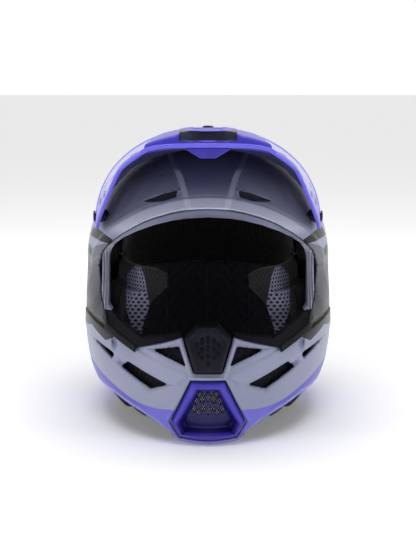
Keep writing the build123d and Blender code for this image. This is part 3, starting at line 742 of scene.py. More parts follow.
def cheek_pad_field(x, y, z):
    """A cheek pad: fuller in its middle and round at its edges."""
    skin = form(np.abs(x), y, z)
    swell = 3.0 * ease(1 - np.hypot((y + 42) / 60, (z - 80) / 75))
    d = both(skin + 31.4, -(skin + 42.8 + swell), 7.0)
    low = both(skin + 24.7, -(skin + 40), 3.0)
    d = join(d, np.maximum(low, z - 127), 4.0)
    d = both(d, both(np.abs(y + 44.6) - 47.2, np.maximum(14.4 - z, z - 149.5), 16.0), 7.0)
    seam = 0.9 * ease(1 - np.abs(outline(y, z, [(-74, 34), (-14, 34), (-14, 132), (-66, 132)])) / 1.6)
    return np.maximum(d + seam, 20 - x)


def crown_field(x, y, z):
    x = np.abs(x)
    skin = form(x, y, z)
    puff = 1.6 * np.cos(x / 19.0 * math.pi) * ease((z - 170) / 20)
    d = both(skin + 30.7, -(skin + 37.6 + puff), 3.5)
    d = both(d, np.where(y < 6, 153.0, 132.4) - z, 3.0)
    return both(d, -np.where(y < -15, port(x, z) - 1.0, 1e3), 3.0)


def nape_field(x, y, z):
    x = np.abs(x)
    skin = form(x, y, z)
    d = both(skin + 30.7, -(skin + 38.4), 3.5)
    d = both(d, both(36.4 - y, np.maximum(34.4 - z, z - 131.2), 4.0), 3.5)
    return d + 1.4 * ease(1 - np.abs(np.abs(x - 22) - 22) / 2.2)


def neck_field(x, y, z):
    x = np.abs(x)
    skin = form(x, y, z)
    return both(both(skin + 7.4, -(skin + 30.2), 5.0), both(36.4 - y, np.abs(z - 11.3) - 6.1, 4.5), 4.5)


# ---------------------------------------------------------------- finishes


def tint(red, green, blue):
    """A colour given as it looks on screen, 0 to 255, for a shader."""
    out = []
    for value in (red, green, blue):
        v = value / 255
        out.append(v / 12.92 if v <= 0.04045 else ((v + 0.055) / 1.055) ** 2.4)
    return (*out, 1.0)


def dimmed(colour, share):
    """A share of a colour, opaque."""
    return tuple(c * share for c in colour[:3]) + (1.0,)


class Wire:
    """A number inside a material, on which arithmetic makes nodes."""

    def __init__(self, tree, socket):
        self.tree, self.socket = tree, socket

    def math(self, operation, *others, clamp=False):
        node = self.tree.nodes.new("ShaderNodeMath")
        node.operation, node.use_clamp = operation, clamp
        for slot, value in zip(node.inputs, (self, *others)):
            if isinstance(value, Wire):
                self.tree.links.new(value.socket, slot)
            else:
                slot.default_value = value
        return Wire(self.tree, node.outputs[0])

    def __add__(self, other):
        return self.math("ADD", other)

    def __sub__(self, other):
        return self.math("SUBTRACT", other)

    def __mul__(self, other):
        return self.math("MULTIPLY", other)

    def between(self, low, high):
        """0 below low, 1 above high, eased between. With low above high it falls instead."""
        node = self.tree.nodes.new("ShaderNodeMapRange")
        node.interpolation_type = "SMOOTHSTEP"
        start, end, a, b = (low, high, 0.0, 1.0) if low < high else (high, low, 1.0, 0.0)
        for key, value in (("From Min", start), ("From Max", end), ("To Min", a), ("To Max", b)):
            node.inputs[key].default_value = value
        self.tree.links.new(self.socket, node.inputs["Value"])
        return Wire(self.tree, node.outputs[0])


class Finish:
    """One material under construction: a Principled shader and helpers that feed it."""

    def __init__(self, name, rough=0.5, **values):
        self.material = bpy.data.materials.new(name)
        self.material.use_nodes = True
        self.tree = self.material.node_tree
        self.shader = self.tree.nodes["Principled BSDF"]
        self.shader.inputs["Roughness"].default_value = rough
        for key, value in values.items():
            self.shader.inputs[key.replace("_", " ").title().replace("Ior", "IOR")].default_value = value
        self.spot = self.tree.nodes.new("ShaderNodeTexCoord").outputs["Object"]

    def attribute(self, name):
        node = self.tree.nodes.new("ShaderNodeAttribute")
        node.attribute_name = name
        return Wire(self.tree, node.outputs["Fac"])

    def place(self, source=None):
        """The three coordinates, in millimetres."""
        node = self.tree.nodes.new("ShaderNodeSeparateXYZ")
        self.tree.links.new(source or self.spot, node.inputs[0])
        return [Wire(self.tree, out) * 1000.0 for out in node.outputs]

    def map(self):
        """The piece's own flat coordinates, in millimetres."""
        node = self.tree.nodes.new("ShaderNodeUVMap")
        node.uv_map = "UVMap"
        return self.place(node.outputs[0])[:2]

    def noise(self, scale, detail=3.0, rough=0.5):
        node = self.tree.nodes.new("ShaderNodeTexNoise")
        for key, value in (("Scale", scale), ("Detail", detail), ("Roughness", rough)):
            node.inputs[key].default_value = value
        self.tree.links.new(self.spot, node.inputs["Vector"])
        return Wire(self.tree, node.outputs["Fac"])

    def mix(self, amount, first, second):
        node = self.tree.nodes.new("ShaderNodeMix")
        node.data_type = "RGBA"
        slots = [s for s in node.inputs if s.type == "RGBA"]
        self.tree.links.new(amount.socket, node.inputs[0])
        for slot, value in zip(slots, (first, second)):
            if isinstance(value, bpy.types.NodeSocket):
                self.tree.links.new(value, slot)
            else:
                slot.default_value = value
        return next(s for s in node.outputs if s.type == "RGBA")

    def colour(self, value):
        if isinstance(value, bpy.types.NodeSocket):
            self.tree.links.new(value, self.shader.inputs["Base Color"])
        else:
            self.shader.inputs["Base Color"].default_value = value

    def rough(self, wire):
        self.tree.links.new(wire.socket, self.shader.inputs["Roughness"])

    def bump(self, height, depth_mm, strength=1.0):
        node = self.tree.nodes.new("ShaderNodeBump")
        node.inputs["Strength"].default_value = strength
        node.inputs["Distance"].default_value = depth_mm * MM
        self.tree.links.new(height.socket, node.inputs["Height"])
        self.tree.links.new(node.outputs[0], self.shader.inputs["Normal"])

    def holes(self, u, v, pitch, radius):
        """1 inside the holes of a knitted mesh, whose rows are offset by half a pitch."""
        row = pitch * 0.866

        def dots(u, v):
            cu = (u * (1 / pitch)).math("FRACT") - 0.5
            cv = (v * (0.5 / row)).math("FRACT") - 0.5
            cu, cv = cu * pitch, cv * (2 * row)
            return (cu * cu + cv * cv).math("SQRT")

        near = dots(u, v).math("MINIMUM", dots(u + pitch / 2, v + row))
        return near.between(radius * 1.12, radius * 0.88)


LAVENDER, PURPLE = tint(152, 155, 180), tint(76, 68, 188)


def shell_paint(sizes):
    f = Finish("shell_paint", rough=0.33, coat_weight=0.1, coat_roughness=0.08, specular_ior_level=0.22)
    _, y, z = f.place()
    grain = f.noise(5200.0, 2.0)
    drift = f.noise(9.0, 3.0)
    base = f.mix(drift.between(0.35, 0.7), tuple(sizes.body), tint(140, 144, 170))
    # Painted shade: the paint darkens towards the crown, for the shade that the peak casts there.
    crown = f.mix(z.between(212, 262), base, tint(86, 88, 128))
    # Painted shade: the forehead panel is darkened higher up, for the shade under the peak.
    panel = f.attribute("panel")
    crown = f.mix(panel.between(-1.2, 1.2) * z.between(215, 236) * 0.5, crown, tint(62, 63, 106))
    # Painted highlight: pale strips along the sloped sides of the forehead panel, where they catch the light.
    strip = panel.between(-2.6, -1.4) * panel.between(4.6, 3.2) * z.between(208, 214) * z.between(246, 240)
    crown = f.mix(strip * 0.75, crown, tint(170, 174, 200))
    smoke = f.mix(z.between(168, 118), tint(104, 106, 122), tint(26, 27, 36))
    facets = (y * 0.8 + z * 0.6).math("PINGPONG", 19.0).between(6.0, 9.0)
    smoke = f.mix(facets * 0.3, smoke, tint(84, 86, 102))
    # Painted highlight: a near-white band along the brow rim over the eye port, where the brow faces up into the
    # light.
    crown = f.mix(
        f.attribute("brow").between(13.2, 11.8) * z.between(180, 190) * 0.9, crown, tint(206, 209, 228)
    )
    side = f.mix(f.attribute("side").between(0.5, -0.5), crown, smoke)
    black = f.mix(f.attribute("patch").between(0.35, -0.35), side, tint(9, 9, 12))
    band = f.attribute("band")
    edge = f.mix(band.between(0.4, -0.4), black, tuple(sizes.band))
    fade = f.mix(f.attribute("turn").between(42, 26) * band.between(0.4, -0.4), edge, tint(114, 107, 208))
    # The lip's purple paint is made paler here: painted bounce light from the floor on a surface that faces down.
    lip = f.mix(f.attribute("lip").between(0.5, -0.5), fade, tuple(sizes.lip))
    fleck = f.mix(grain.between(0.60, 0.72) * 0.10, lip, tint(225, 226, 240))
    inner = f.mix(f.attribute("inner").between(-2.7, -3.3), fleck, tint(26, 26, 30))
    f.colour(inner)
    f.bump(f.noise(240.0, 1.0), 0.03, 0.35)
    return f.material


def peak_paint(sizes):
    f = Finish("peak_plastic", rough=0.32, coat_weight=0.14, coat_roughness=0.12, specular_ior_level=0.3)
    _, y, z = f.place()
    side = f.mix(z.between(246, 205), tint(190, 188, 216), tint(150, 142, 226))
    top = f.mix(f.attribute("deck").between(0.6, -0.6), side, tuple(sizes.band))
    rim = f.mix(f.attribute("rim").between(-5.4, -4.8), top, tint(104, 98, 224))
    # Painted shade: the underside is dark navy behind the front edge, for the shade under the peak. Near the front
    # edge it is the purple paint wrapping round, made lighter against that shade.
    under = f.mix(y.between(-186, -196), tint(34, 32, 76), tint(92, 84, 206))
    edge = f.mix(f.attribute("inner").between(-1.2, -1.9), rim, under)
    # Painted shadow: the faces round the intake slot are painted near black, for the shadow inside it.
    edge = f.mix(f.attribute("slot").between(0.3, -0.3), edge, tint(14, 14, 18))
    rim_all = f.mix(f.attribute("rim").between(-5.4, -4.8), edge, tint(104, 98, 224))
    f.colour(rim_all)
    f.bump(f.noise(900.0, 2.0), 0.02, 0.3)
    return f.material


def plain(name, colour, rough, grain=900.0, depth=0.03, spread=0.08, **values):
    """Moulded plastic or rubber: a fine grain, a little change of tone and of gloss."""
    f = Finish(name, rough=rough, specular_ior_level=0.17, **values)
    tone = f.noise(38.0, 4.0)
    f.colour(f.mix(tone.between(0.35, 0.65), colour, dimmed(colour, 0.72)))
    f.rough(f.noise(120.0, 3.0).between(0.2, 0.8) * spread + (rough - spread / 2))
    f.bump(f.noise(grain, 2.0), depth, 0.6)
    return f.material


def knit(name, thread, gap, pitch=3.1, radius=0.95):
    """Knitted mesh over foam, with a sheen."""
    f = Finish(name, rough=0.85, sheen_weight=0.25, sheen_roughness=0.4)
    u, v = f.map()
    hole = f.holes(u, v, pitch, radius)
    strand = (u.math("PINGPONG", pitch / 6) * (3 / pitch)).math(
        "ADD", v.math("PINGPONG", pitch / 8) * (3 / pitch)
    )
    tone = f.mix(f.noise(160.0, 3.0).between(0.3, 0.7), thread, dimmed(thread, 0.7))
    f.colour(f.mix(hole, tone, gap))
    f.bump((hole * -1.0) + strand * 0.12, 0.5, 0.7)
    return f.material


def cheek_knit():
    """The cheek pads' two cloths: pale mesh over the cushion, dark mesh round it."""
    f = Finish("cheek_knit", rough=0.85, sheen_weight=0.3, sheen_roughness=0.4)
    u, v = f.map()
    hole = f.holes(u, v, 4.1, 1.25)
    pale = f.attribute("pale").between(0.6, -0.6)
    thread = f.mix(pale, tint(15, 15, 19), tint(138, 140, 168))
    shade = f.mix(f.noise(160.0, 3.0).between(0.3, 0.7) * 0.3, thread, tint(30, 30, 38))
    f.colour(f.mix(hole, shade, tint(10, 10, 13)))
    f.bump(hole * -1.0, 0.6, 0.7)
    return f.material


def chevron_knit():
    """The nape's cloth: a knitted mesh in upright zigzag bands."""
    f = Finish("chevron_knit", rough=0.85, sheen_weight=0.3, sheen_roughness=0.4)
    u, v = f.map()
    slant = (v + u.math("PINGPONG", 9.0) * 1.6).math("PINGPONG", 1.7) * (1 / 1.7)
    hole = f.holes(u, v, 2.6, 0.75)
    ridge = slant.between(0.35, 0.75)
    tone = f.mix(ridge, tint(30, 30, 36), tint(92, 92, 108))
    f.colour(f.mix(hole * 0.7, tone, tint(8, 8, 10)))
    f.bump(ridge - hole, 0.5, 0.8)
    return f.material


# ---------------------------------------------------------------- repeated pieces


def node_group(name, *inputs):
    """An empty Geometry Nodes tree with a geometry in and out, and named inputs."""
    tree = bpy.data.node_groups.new(name, "GeometryNodeTree")
    tree.interface.new_socket("Geometry", in_out="INPUT", socket_type="NodeSocketGeometry")
    for label, kind in inputs:
        tree.interface.new_socket(label, in_out="INPUT", socket_type=kind)
    tree.interface.new_socket("Geometry", in_out="OUTPUT", socket_type="NodeSocketGeometry")
    return tree, tree.nodes.new("NodeGroupInput"), tree.nodes.new("NodeGroupOutput")


def end_tree(tree, start, end, geometry):
    """Realizes the instances, sets the material and closes the tree."""
    real, paint = tree.nodes.new("GeometryNodeRealizeInstances"), tree.nodes.new("GeometryNodeSetMaterial")
    tree.links.new(geometry, real.inputs[0])
    tree.links.new(real.outputs[0], paint.inputs["Geometry"])
    tree.links.new(start.outputs["Material"], paint.inputs["Material"])
    tree.links.new(paint.outputs[0], end.inputs[0])
    return tree


def wire_tree():
    """Turns a mesh's edges into round wires."""
    inputs = (
        "Wire Radius", "NodeSocketFloat"
    ), ("Sides", "NodeSocketInt"), ("Material", "NodeSocketMaterial")
    tree, start, end = node_group("wires", *inputs)
    path, circle = tree.nodes.new("GeometryNodeMeshToCurve"), tree.nodes.new(
        "GeometryNodeCurvePrimitiveCircle"
    )
    sweep = tree.nodes.new("GeometryNodeCurveToMesh")
    tree.links.new(start.outputs["Geometry"], path.inputs[0])
    tree.links.new(start.outputs["Sides"], circle.inputs["Resolution"])
    tree.links.new(start.outputs["Wire Radius"], circle.inputs["Radius"])
    tree.links.new(path.outputs[0], sweep.inputs["Curve"])
    tree.links.new(circle.outputs[0], sweep.inputs["Profile Curve"])
    sweep.inputs["Fill Caps"].default_value = True
    return end_tree(tree, start, end, sweep.outputs[0])


def stamp_tree():
    """Puts a copy of one shape at each point, its own Z along the point's aim."""
    inputs = ("Shape", "NodeSocketObject"), ("Size", "NodeSocketFloat"), ("Material", "NodeSocketMaterial")
    tree, start, end = node_group("stamps", *inputs)
    shape, spread = tree.nodes.new("GeometryNodeObjectInfo"), tree.nodes.new("GeometryNodeInstanceOnPoints")
    aim = tree.nodes.new("GeometryNodeInputNamedAttribute")
    turn = tree.nodes.new("FunctionNodeAlignRotationToVector")
    aim.data_type = "FLOAT_VECTOR"
    aim.inputs["Name"].default_value = "aim"
    turn.axis = "Z"
    tree.links.new(start.outputs["Shape"], shape.inputs["Object"])
    tree.links.new(start.outputs["Geometry"], spread.inputs["Points"])
    tree.links.new(shape.outputs["Geometry"], spread.inputs["Instance"])
    tree.links.new(aim.outputs["Attribute"], turn.inputs["Vector"])
    tree.links.new(turn.outputs[0], spread.inputs["Rotation"])
    tree.links.new(start.outputs["Size"], spread.inputs["Scale"])
    return end_tree(tree, start, end, spread.outputs[0])


def grown(name, mesh, tree, material, **values):
    """A piece made by a tree from a mesh: the modifier is applied and gone when this returns."""
    source = bpy.data.objects.new(name + "_source", mesh)
    bpy.context.scene.collection.objects.link(source)
    modifier = source.modifiers.new("grow", "NODES")
    modifier.node_group = tree
    values = {key.replace("_", " ").title(): value for key, value in values.items()}
    values["Material"] = material
    for item in tree.interface.items_tree:
        if item.in_out == "INPUT" and item.name in values:
            modifier[item.identifier] = values[item.name]
    graph = bpy.context.evaluated_depsgraph_get()
    graph.update()
    result = bpy.data.meshes.new_from_object(source.evaluated_get(graph))
    bpy.data.objects.remove(source)
    result.materials.clear()
    result.shade_smooth()
    return finished(name, result, material)


def depth_point(x, z, inset, rear=False):
    """The point of the form's front or back at x and z, drawn in by inset."""
    low, high = (np.full_like(x, 20.0), np.full_like(x, 160.0)) if rear else (
        np.full_like(x, -15.0), np.full_like(x, -230.0)
    )
    for _ in range(24):
        y = (low + high) / 2
        inside = form(np.abs(x), y, z) < -inset
        low, high = np.where(inside, y, low), np.where(inside, high, y)
    return np.stack([x, (low + high) / 2, z], axis=-1)


def weave(points, pitch, slopes_xz, place, grow=0.0):
    """A mesh of edges: lines of each slope, a pitch apart, inside an outline and laid by place(x, z)."""
    corners = np.array(points, float)
    middle, reach = corners.mean(axis=0), np.ptp(corners, axis=0).max() * 0.8 + pitch
    verts, edges = [], []
    for dx, dz in slopes_xz:
        for k in np.arange(-reach, reach, pitch):
            t = np.arange(-reach, reach, 1.3)
            x, z = middle[0] + dx * t - dz * k, middle[1] + dz * t + dx * k
            keep = outline(x, z, points) < grow
            start = len(verts)
            if keep.sum() < 2:
                continue
            spots = place(x[keep], z[keep])
            index = np.flatnonzero(keep)
            verts.extend(spots * MM)
            edges.extend(
                (start + i, start + i + 1) for i in range(len(index) - 1) if index[i + 1] == index[i] + 1
            )
    mesh = bpy.data.meshes.new("weave")
    mesh.from_pydata([tuple(v) for v in verts], edges, [])
    return mesh


def pointed(spots, aims):
    """A mesh of loose points, each with the direction that a stamped shape faces."""
    mesh = bpy.data.meshes.new("points")
    mesh.from_pydata([tuple(c * MM for c in s) for s in spots], [], [])
    mesh.attributes.new("aim", "FLOAT_VECTOR", "POINT").data.foreach_set(
        "vector", np.ravel(aims).astype(np.float32)
    )
    return mesh


def turned(name, profile, sides=28, socket=None):
    """A shape turned about Z from (radius, height) pairs in millimetres. Rings below socket are six-sided."""
    mesh, work = bpy.data.meshes.new(name), bmesh.new()
    rings = []
    for i, (radius, height) in enumerate(profile):
        ring = []
        for k in range(sides):
            a = 2 * math.pi * k / sides
            r = radius
            if socket is not None and i >= socket:
                r = radius * math.cos(math.pi / 6) / math.cos((a % (math.pi / 3)) - math.pi / 6)
            ring.append(work.verts.new((r * math.cos(a) * MM, r * math.sin(a) * MM, height * MM)))
        rings.append(ring)
    for low, high in zip(rings, rings[1:]):
        for k in range(sides):
            work.faces.new((low[k], low[(k + 1) % sides], high[(k + 1) % sides], high[k]))
    work.faces.new(rings[0][::-1])
    work.faces.new(rings[-1])
    bmesh.ops.recalc_face_normals(work, faces=work.faces)
    work.to_mesh(mesh)
    work.free()
    shape = bpy.data.objects.new(name, mesh)
    bpy.context.scene.collection.objects.link(shape)
    return shape


def ribbon(name, path, width, thick, material, middle_y):
    """A strap: a soft-edged band whose width runs along Y, laid along (x, z) points. Its UV is in metres."""
    line = np.array(path, float)
    gaps = np.r_[0, np.cumsum(np.hypot(*np.diff(line, axis=0).T))]
    t = np.linspace(0, gaps[-1], max(int(gaps[-1] / 1.6), 4))
    x, z = np.interp(t, gaps, line[:, 0]), np.interp(t, gaps, line[:, 1])
    for _ in range(6):
        x[1:-1] += 0.25 * (x[:-2] + x[2:] - 2 * x[1:-1])
        z[1:-1] += 0.25 * (z[:-2] + z[2:] - 2 * z[1:-1])
    tx, tz = np.gradient(x), np.gradient(z)
    size = np.hypot(tx, tz)
    nx, nz = -tz / size, tx / size
    half, h = width / 2, thick / 2
    section = [
        (-half, 0), (-half + 0.5, h * 0.8), (-half + 1.6, h), (-half / 2, h * 0.9), (0, h),
        (half / 2, h * 0.9)
    ]
    section += [(half - 1.6, h), (half - 0.5, h * 0.8), (half, 0)]
    section += [(w, -s) for w, s in section[-2:0:-1]]
    mesh, work = bpy.data.meshes.new(name), bmesh.new()
    layer = work.loops.layers.uv.new("UVMap")
    rows = [
        [
            work.verts.new(((x[i] + nx[i] * s) * MM, (middle_y + w) * MM, (z[i] + nz[i] * s) * MM)) for w,
            s in section
        ]
        for i in range(len(t))
    ]
    count = len(section)
    for i in range(len(t) - 1):
        for k in range(count):
            n = (k + 1) % count
            face = work.faces.new((rows[i][k], rows[i][n], rows[i + 1][n], rows[i + 1][k]))
            for loop, (row, col) in zip(face.loops, ((i, k), (i, n), (i + 1, n), (i + 1, k))):
                loop[layer].uv = (section[col][0] * MM, t[row] * MM)
    work.faces.new(rows[0][::-1])
    work.faces.new(rows[-1])
    bmesh.ops.recalc_face_normals(work, faces=work.faces)
    work.to_mesh(mesh)
    work.free()
    mesh.shade_smooth()
    return finished(name, mesh, material)


# ---------------------------------------------------------------- settings and operators


def paint_setting(name, description, default):
    """A colour that the user may change."""
    return FloatVectorProperty(
        name=name, description=description, subtype="COLOR", size=4, min=0, max=1, default=default
    )


class HelmetSettings(bpy.types.PropertyGroup):
    body: paint_setting("Body paint", "Colour of the shell's paint", LAVENDER)
    band: paint_setting("Band", "Colour of the band and the top of the peak", PURPLE)
    # The lip's default is the purple paint made paler, as painted bounce light from the floor.
    lip: paint_setting("Lip", "Colour of the lip under the chin", tint(150, 144, 222))
    grid: FloatProperty(
        name="Grid", description="Spacing of the shell's mesh", default=1.7 * MM, min=0.8 * MM, max=5 * MM,
        unit="LENGTH"
    )
    knit_pitch: FloatProperty(
        name="Knit pitch", description="Distance between the holes of the lining's mesh", default=3.1 * MM,
        min=MM, max=8 * MM, unit="LENGTH"
    )


class HelmetOperator:
    """What every step shares."""

    bl_options = {"REGISTER", "UNDO"}

    def execute(self, context):
        try:
            self.make(context.scene.helmet_settings)
        except Exception as fault:
            raise RuntimeError(f"{self.bl_label} could not finish: {fault}") from fault
        return {"FINISHED"}


SPACING = 1.3 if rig.quick() else 1.0


def grid(x_runs, y_runs, z_runs):
    """A grid's lines. Each argument is a start and then runs of (end, spacing)."""

    def scaled(runs):
        return [(end, spacing * SPACING) for end, spacing in runs]

    return (
        both_sides(x_runs[0], *scaled(x_runs[1:])),
        steps(y_runs[0], *scaled(y_runs[1:])),
        steps(z_runs[0], *scaled(z_runs[1:])),
    )


def one_side(low, high, spacing, y_runs, z_runs):
    """A grid on the right-hand side only."""
    _, y, z = grid((0.5, (1, 1)), y_runs, z_runs)
    return steps(low, (high, spacing * SPACING)), y, z


def settle(piece, body, slot, *nodes):
    """Gives a finished piece its body, its material slot and the nodes it stands for."""
    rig.ride(piece, body)
    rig.slot(piece, slot)
    if nodes:
        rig.replaces(piece, *nodes)
    return piece


def paint_values():
    """What the shell's paint reads at each point: distances to the edges of its colours."""
    def skin(x, y, z):
        return form(x, y, z) - relief(np.abs(x), y, z)

    def patch(x, y, z):
        near = np.full_like(x, 60.0)
        for points in PATCHES:
            near = np.minimum(near, outline(np.abs(x), z, points))
        return np.where(y < 8, near, 60.0)

    def side(x, y, z):
        blade = outline(
            y, z,
            [(-96, 176), (-30, 160), (40, 138), (52, 118), (-30, 92), (-70, 92), (-112, 100), (-112, 176)]
        )
        return np.where(np.abs(x) > 88, blade, 30.0)

    return {
        "inner": skin,
        "band": lambda x, y, z: z - curve(bearing(x, y, z), BAND),
        "lip": lambda x, y, z: z - along(bearing(x, y, z), LIP),
        "turn": bearing,
        "patch": patch,
        "side": side,
        # brow places the painted highlight along the brow rim over the eye port.
        "brow": lambda x, y, z: np.where((z > 170) & (y < -20), port(np.abs(x), z), 60.0),
        # panel places the painted shade and the painted highlight strips on the forehead panel.
        "panel": lambda x, y, z: np.where(z > 200, along(z, PANEL) - np.abs(x) - 3, -30.0),
    }


class HELMET_OT_shell(HelmetOperator, bpy.types.Operator):
    """Make the painted shell with its moulded chin bar, vents and ridges"""

    bl_idname = "helmet.shell"
    bl_label = "Shell"

    def make(self, sizes):
        fine = sizes.grid / MM
        axes = grid(
            (0.7, (100, fine), (131, fine * 1.1)),
            (-197, (-88, fine), (-30, 2.6), (150, 3.9)),
            (-3, (112, fine * 1.04), (200, 3.2), (232, 1.9), (280, 3.4)),
        )
        piece = field_piece("helmet_shell", shell_field, axes, shell_paint(sizes), paint_values())
        settle(piece, "helmet", "shell_paint", "shell")


class HELMET_OT_peak(HelmetOperator, bpy.types.Operator):
    """Make the peak and the keel under its front"""

    bl_idname = "helmet.peak"
    bl_label = "Peak"

    def make(self, sizes):
        axes = grid(
            (0.7, (114, 1.45)), (-242, (-226, 1.2), (-60, 1.55), (-16, 1.6)), (180, (262, 1.5), (286, 1.2))
        )
        values = {
            "inner": arch,
            "deck": lambda x, y, z: np.maximum(np.abs(x) - 60.5 + 0.07 * (y + 124), -60),
            "rim": lambda x, y, z: outline(y, z, PEAK_SIDE),
            # slot places the painted shadow round the intake slot.
            "slot": lambda x, y,
            z: np.maximum(np.maximum(np.abs(x) - 26.5, np.abs(z - 276.2) - 4.4), -(y + 122.6)),
        }
        piece = field_piece("peak_sheet", peak_field, axes, peak_paint(sizes), values)
        settle(piece, "peak", "peak_plastic", "peak")
        axes = grid((0.4, (20, 0.9)), (-237, (-226, 0.9)), (260, (274, 0.9)))
        violet = plain("keel_plastic", tint(72, 62, 176), 0.35)
        settle(field_piece("peak_keel", tongue_field, axes, violet), "peak", "purple_plastic", "peak_tongue")


class HELMET_OT_gasket(HelmetOperator, bpy.types.Operator):
    """Make the trim round the eye port and the edging of the neck opening"""

    bl_idname = "helmet.gasket"
    bl_label = "Gasket and edging"

    def make(self, sizes):
        f = Finish("trim_plastic", rough=0.38, coat_weight=0.2, coat_roughness=0.2)
        z = f.place()[2]
        drift = f.noise(24.0, 3.0)
        base = f.mix(z.between(172, 202), tint(150, 152, 170), tint(104, 106, 136))
        f.colour(f.mix(drift.between(0.3, 0.7) * 0.5, base, tint(92, 94, 112)))
        f.bump(f.noise(700.0, 2.0), 0.03, 0.5)
        axes = grid((0.5, (102, 1.1)), (-150, (-60, 1.4)), (111, (172, 1.8), (213, 1.2)))
        settle(
            field_piece("eyeport_trim_top", upper_gasket, axes, f.material), "helmet", "trim_plastic",
            "eyeport_trim_upper"
        )
        rubber = plain("soft_rubber", tint(19, 19, 25), 0.52)
        for hand, word in ((1, "right"), (-1, "left")):
            axes = one_side(22.0, 104.0, 1.2, (-186, (-90, 1.3)), (82, (114, 1.1)))
            piece = field_piece(f"eyeport_trim_low_{word}", lower_gasket, axes, rubber, mirrored=hand < 0)
            settle(piece, "helmet", "rubber", f"eyeport_trim_lower_{word}")
        axes = grid((0.8, (108, 2.0)), (-100, (112, 2.0)), (-1.5, (26, 1.2)))
        settle(field_piece("neck_edging", edging_field, axes, rubber), "helmet", "rubber", "base_trim")


class HELMET_OT_chin(HelmetOperator, bpy.types.Operator):
    """Make the nose guard and the scoop in the chin bar"""

    bl_idname = "helmet.chin"
    bl_label = "Nose guard and chin scoop"

    def make(self, sizes):
        charcoal = plain("nose_plastic", tint(24, 25, 36), 0.45)
        axes = grid((0.3, (24, 0.62)), (-196, (-156, 0.9)), (66, (113, 0.62)))
        settle(
            field_piece("nose_guard_cover", nose_field, axes, charcoal), "helmet", "nose_plastic",
            "nose_guard"
        )
        f = Finish("scoop_plastic", rough=0.34, coat_weight=0.15, coat_roughness=0.15, specular_ior_level=0.3)
        # Painted shade: the scoop's purple darkens to deep navy the deeper its faces sink into the recess.
        f.colour(f.mix(f.attribute("depth").between(-4.5, 0.5), tint(24, 19, 88), tint(70, 58, 178)))
        f.bump(f.noise(800.0, 2.0), 0.03, 0.5)
        axes = grid((0.5, (36, 0.9)), (-197, (-150, 1.0)), (-1, (64, 0.9)))
        # depth drives the scoop's painted shade.
        piece = field_piece("chin_scoop", scoop_field, axes, f.material, {"depth": form})
        settle(piece, "helmet", "purple_plastic", "chin_vent_insert")


class HELMET_OT_foam(HelmetOperator, bpy.types.Operator):
    """Make the impact foam of the skull, the chin bar and the cheeks"""

    bl_idname = "helmet.foam"
    bl_label = "Impact foam"

    def make(self, sizes):
        f = Finish("impact_foam", rough=0.9)
        cells = f.tree.nodes.new("ShaderNodeTexVoronoi")
        cells.inputs["Scale"].default_value = 320.0
        f.tree.links.new(f.spot, cells.inputs["Vector"])
        bead = Wire(f.tree, cells.outputs["Distance"])
        _, y, z = f.place()
        covered = z.between(158.5, 156.5) * y.between(9, 6)
        knitted = f.mix(f.holes(y, z, 4.1, 1.25), tint(44, 44, 54), tint(8, 8, 10))
        f.colour(f.mix(covered, f.mix(bead.between(0.2, 0.7), tint(26, 26, 30), tint(12, 12, 14)), knitted))
        f.bump(bead * -1.0, 0.25, 0.6)
        axes = grid((1.5, (124, 4.0)), (-132, (148, 4.0)), (14, (272, 4.0)))
        settle(
            field_piece("skull_foam", skull_foam_field, axes, f.material), "helmet", "foam",
            *nodes_of("impact_liner")
        )
        axes = grid((1.0, (104, 2.4)), (-186, (-90, 2.4)), (6, (112, 2.4)))
        settle(field_piece("chin_bar_foam", chin_foam_field, axes, f.material), "helmet", "foam", "chin_foam")
        for hand, word in ((1, "right"), (-1, "left")):
            axes = one_side(48.0, 124.0, 3.0, (-95, (6, 3.0)), (10, (131, 3.0)))
            piece = field_piece(f"cheek_core_{word}", cheek_foam_field, axes, f.material, mirrored=hand < 0)
            settle(piece, "helmet", "foam", f"cheek_foam_{word}")


def wrapped(x, y, z):
    """Flat coordinates that run round the form and up it, in millimetres."""
    return np.arctan2(x, -(y - MIDDLE_Y)) * 96, z


def domed(x, y, z):
    """Flat coordinates over the crown, in millimetres."""
    return x, y + 0.35 * z


class HELMET_OT_lining(HelmetOperator, bpy.types.Operator):
    """Make the comfort lining: crown, nape, neck roll and cheek pads"""

    bl_idname = "helmet.lining"
    bl_label = "Lining"

    def make(self, sizes):
        pitch = sizes.knit_pitch / MM
        dark = knit("lining_knit", tint(26, 26, 31), tint(6, 6, 8), pitch)
        axes = grid((1.0, (94, 2.6)), (-104, (114, 2.6)), (130, (244, 2.6)))
        crown = field_piece("crown_cushion", crown_field, axes, dark, uv=domed)
        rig.padded(settle(crown, "helmet", "lining", *nodes_of("crown_pad")), fill=0.4)
        axes = grid((0.8, (94, 2.2)), (32, (116, 2.2)), (31, (134, 2.2)))
        nape = field_piece("nape_cushion", nape_field, axes, chevron_knit(), uv=wrapped)
        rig.padded(settle(nape, "helmet", "lining", "nape_pad"), fill=0.4)
        axes = grid((0.8, (96, 2.0)), (33, (112, 2.0)), (3, (20, 1.4)))
        roll = field_piece("neck_cushion", neck_field, axes, dark, uv=wrapped)
        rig.padded(settle(roll, "helmet", "lining", "neck_roll"), fill=0.6)
        pale = cheek_knit()

        def zone(x, y, z):
            return outline(
                np.abs(x), z,
                [
                    (70, 150), (80, 138), (79, 112), (72, 90), (60, 74), (50, 78), (52, 100), (57, 120),
                    (61, 140), (65, 149)
                ]
            )

        for hand, word in ((1, "right"), (-1, "left")):
            axes = one_side(38.0, 102.0, 1.9, (-96, (6, 1.9)), (11, (153, 1.9)))
            pad = field_piece(
                f"cheek_cushion_{word}", cheek_pad_field, axes, pale, {"pale": zone}, wrapped, hand < 0
            )
            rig.padded(settle(pad, "helmet", "lining", f"cheek_pad_{word}"), fill=0.7)


def nodes_of(stem):
    """The frame's nodes whose names start with stem."""
    return [name for name in frame["nodes"] if name.startswith(stem)]


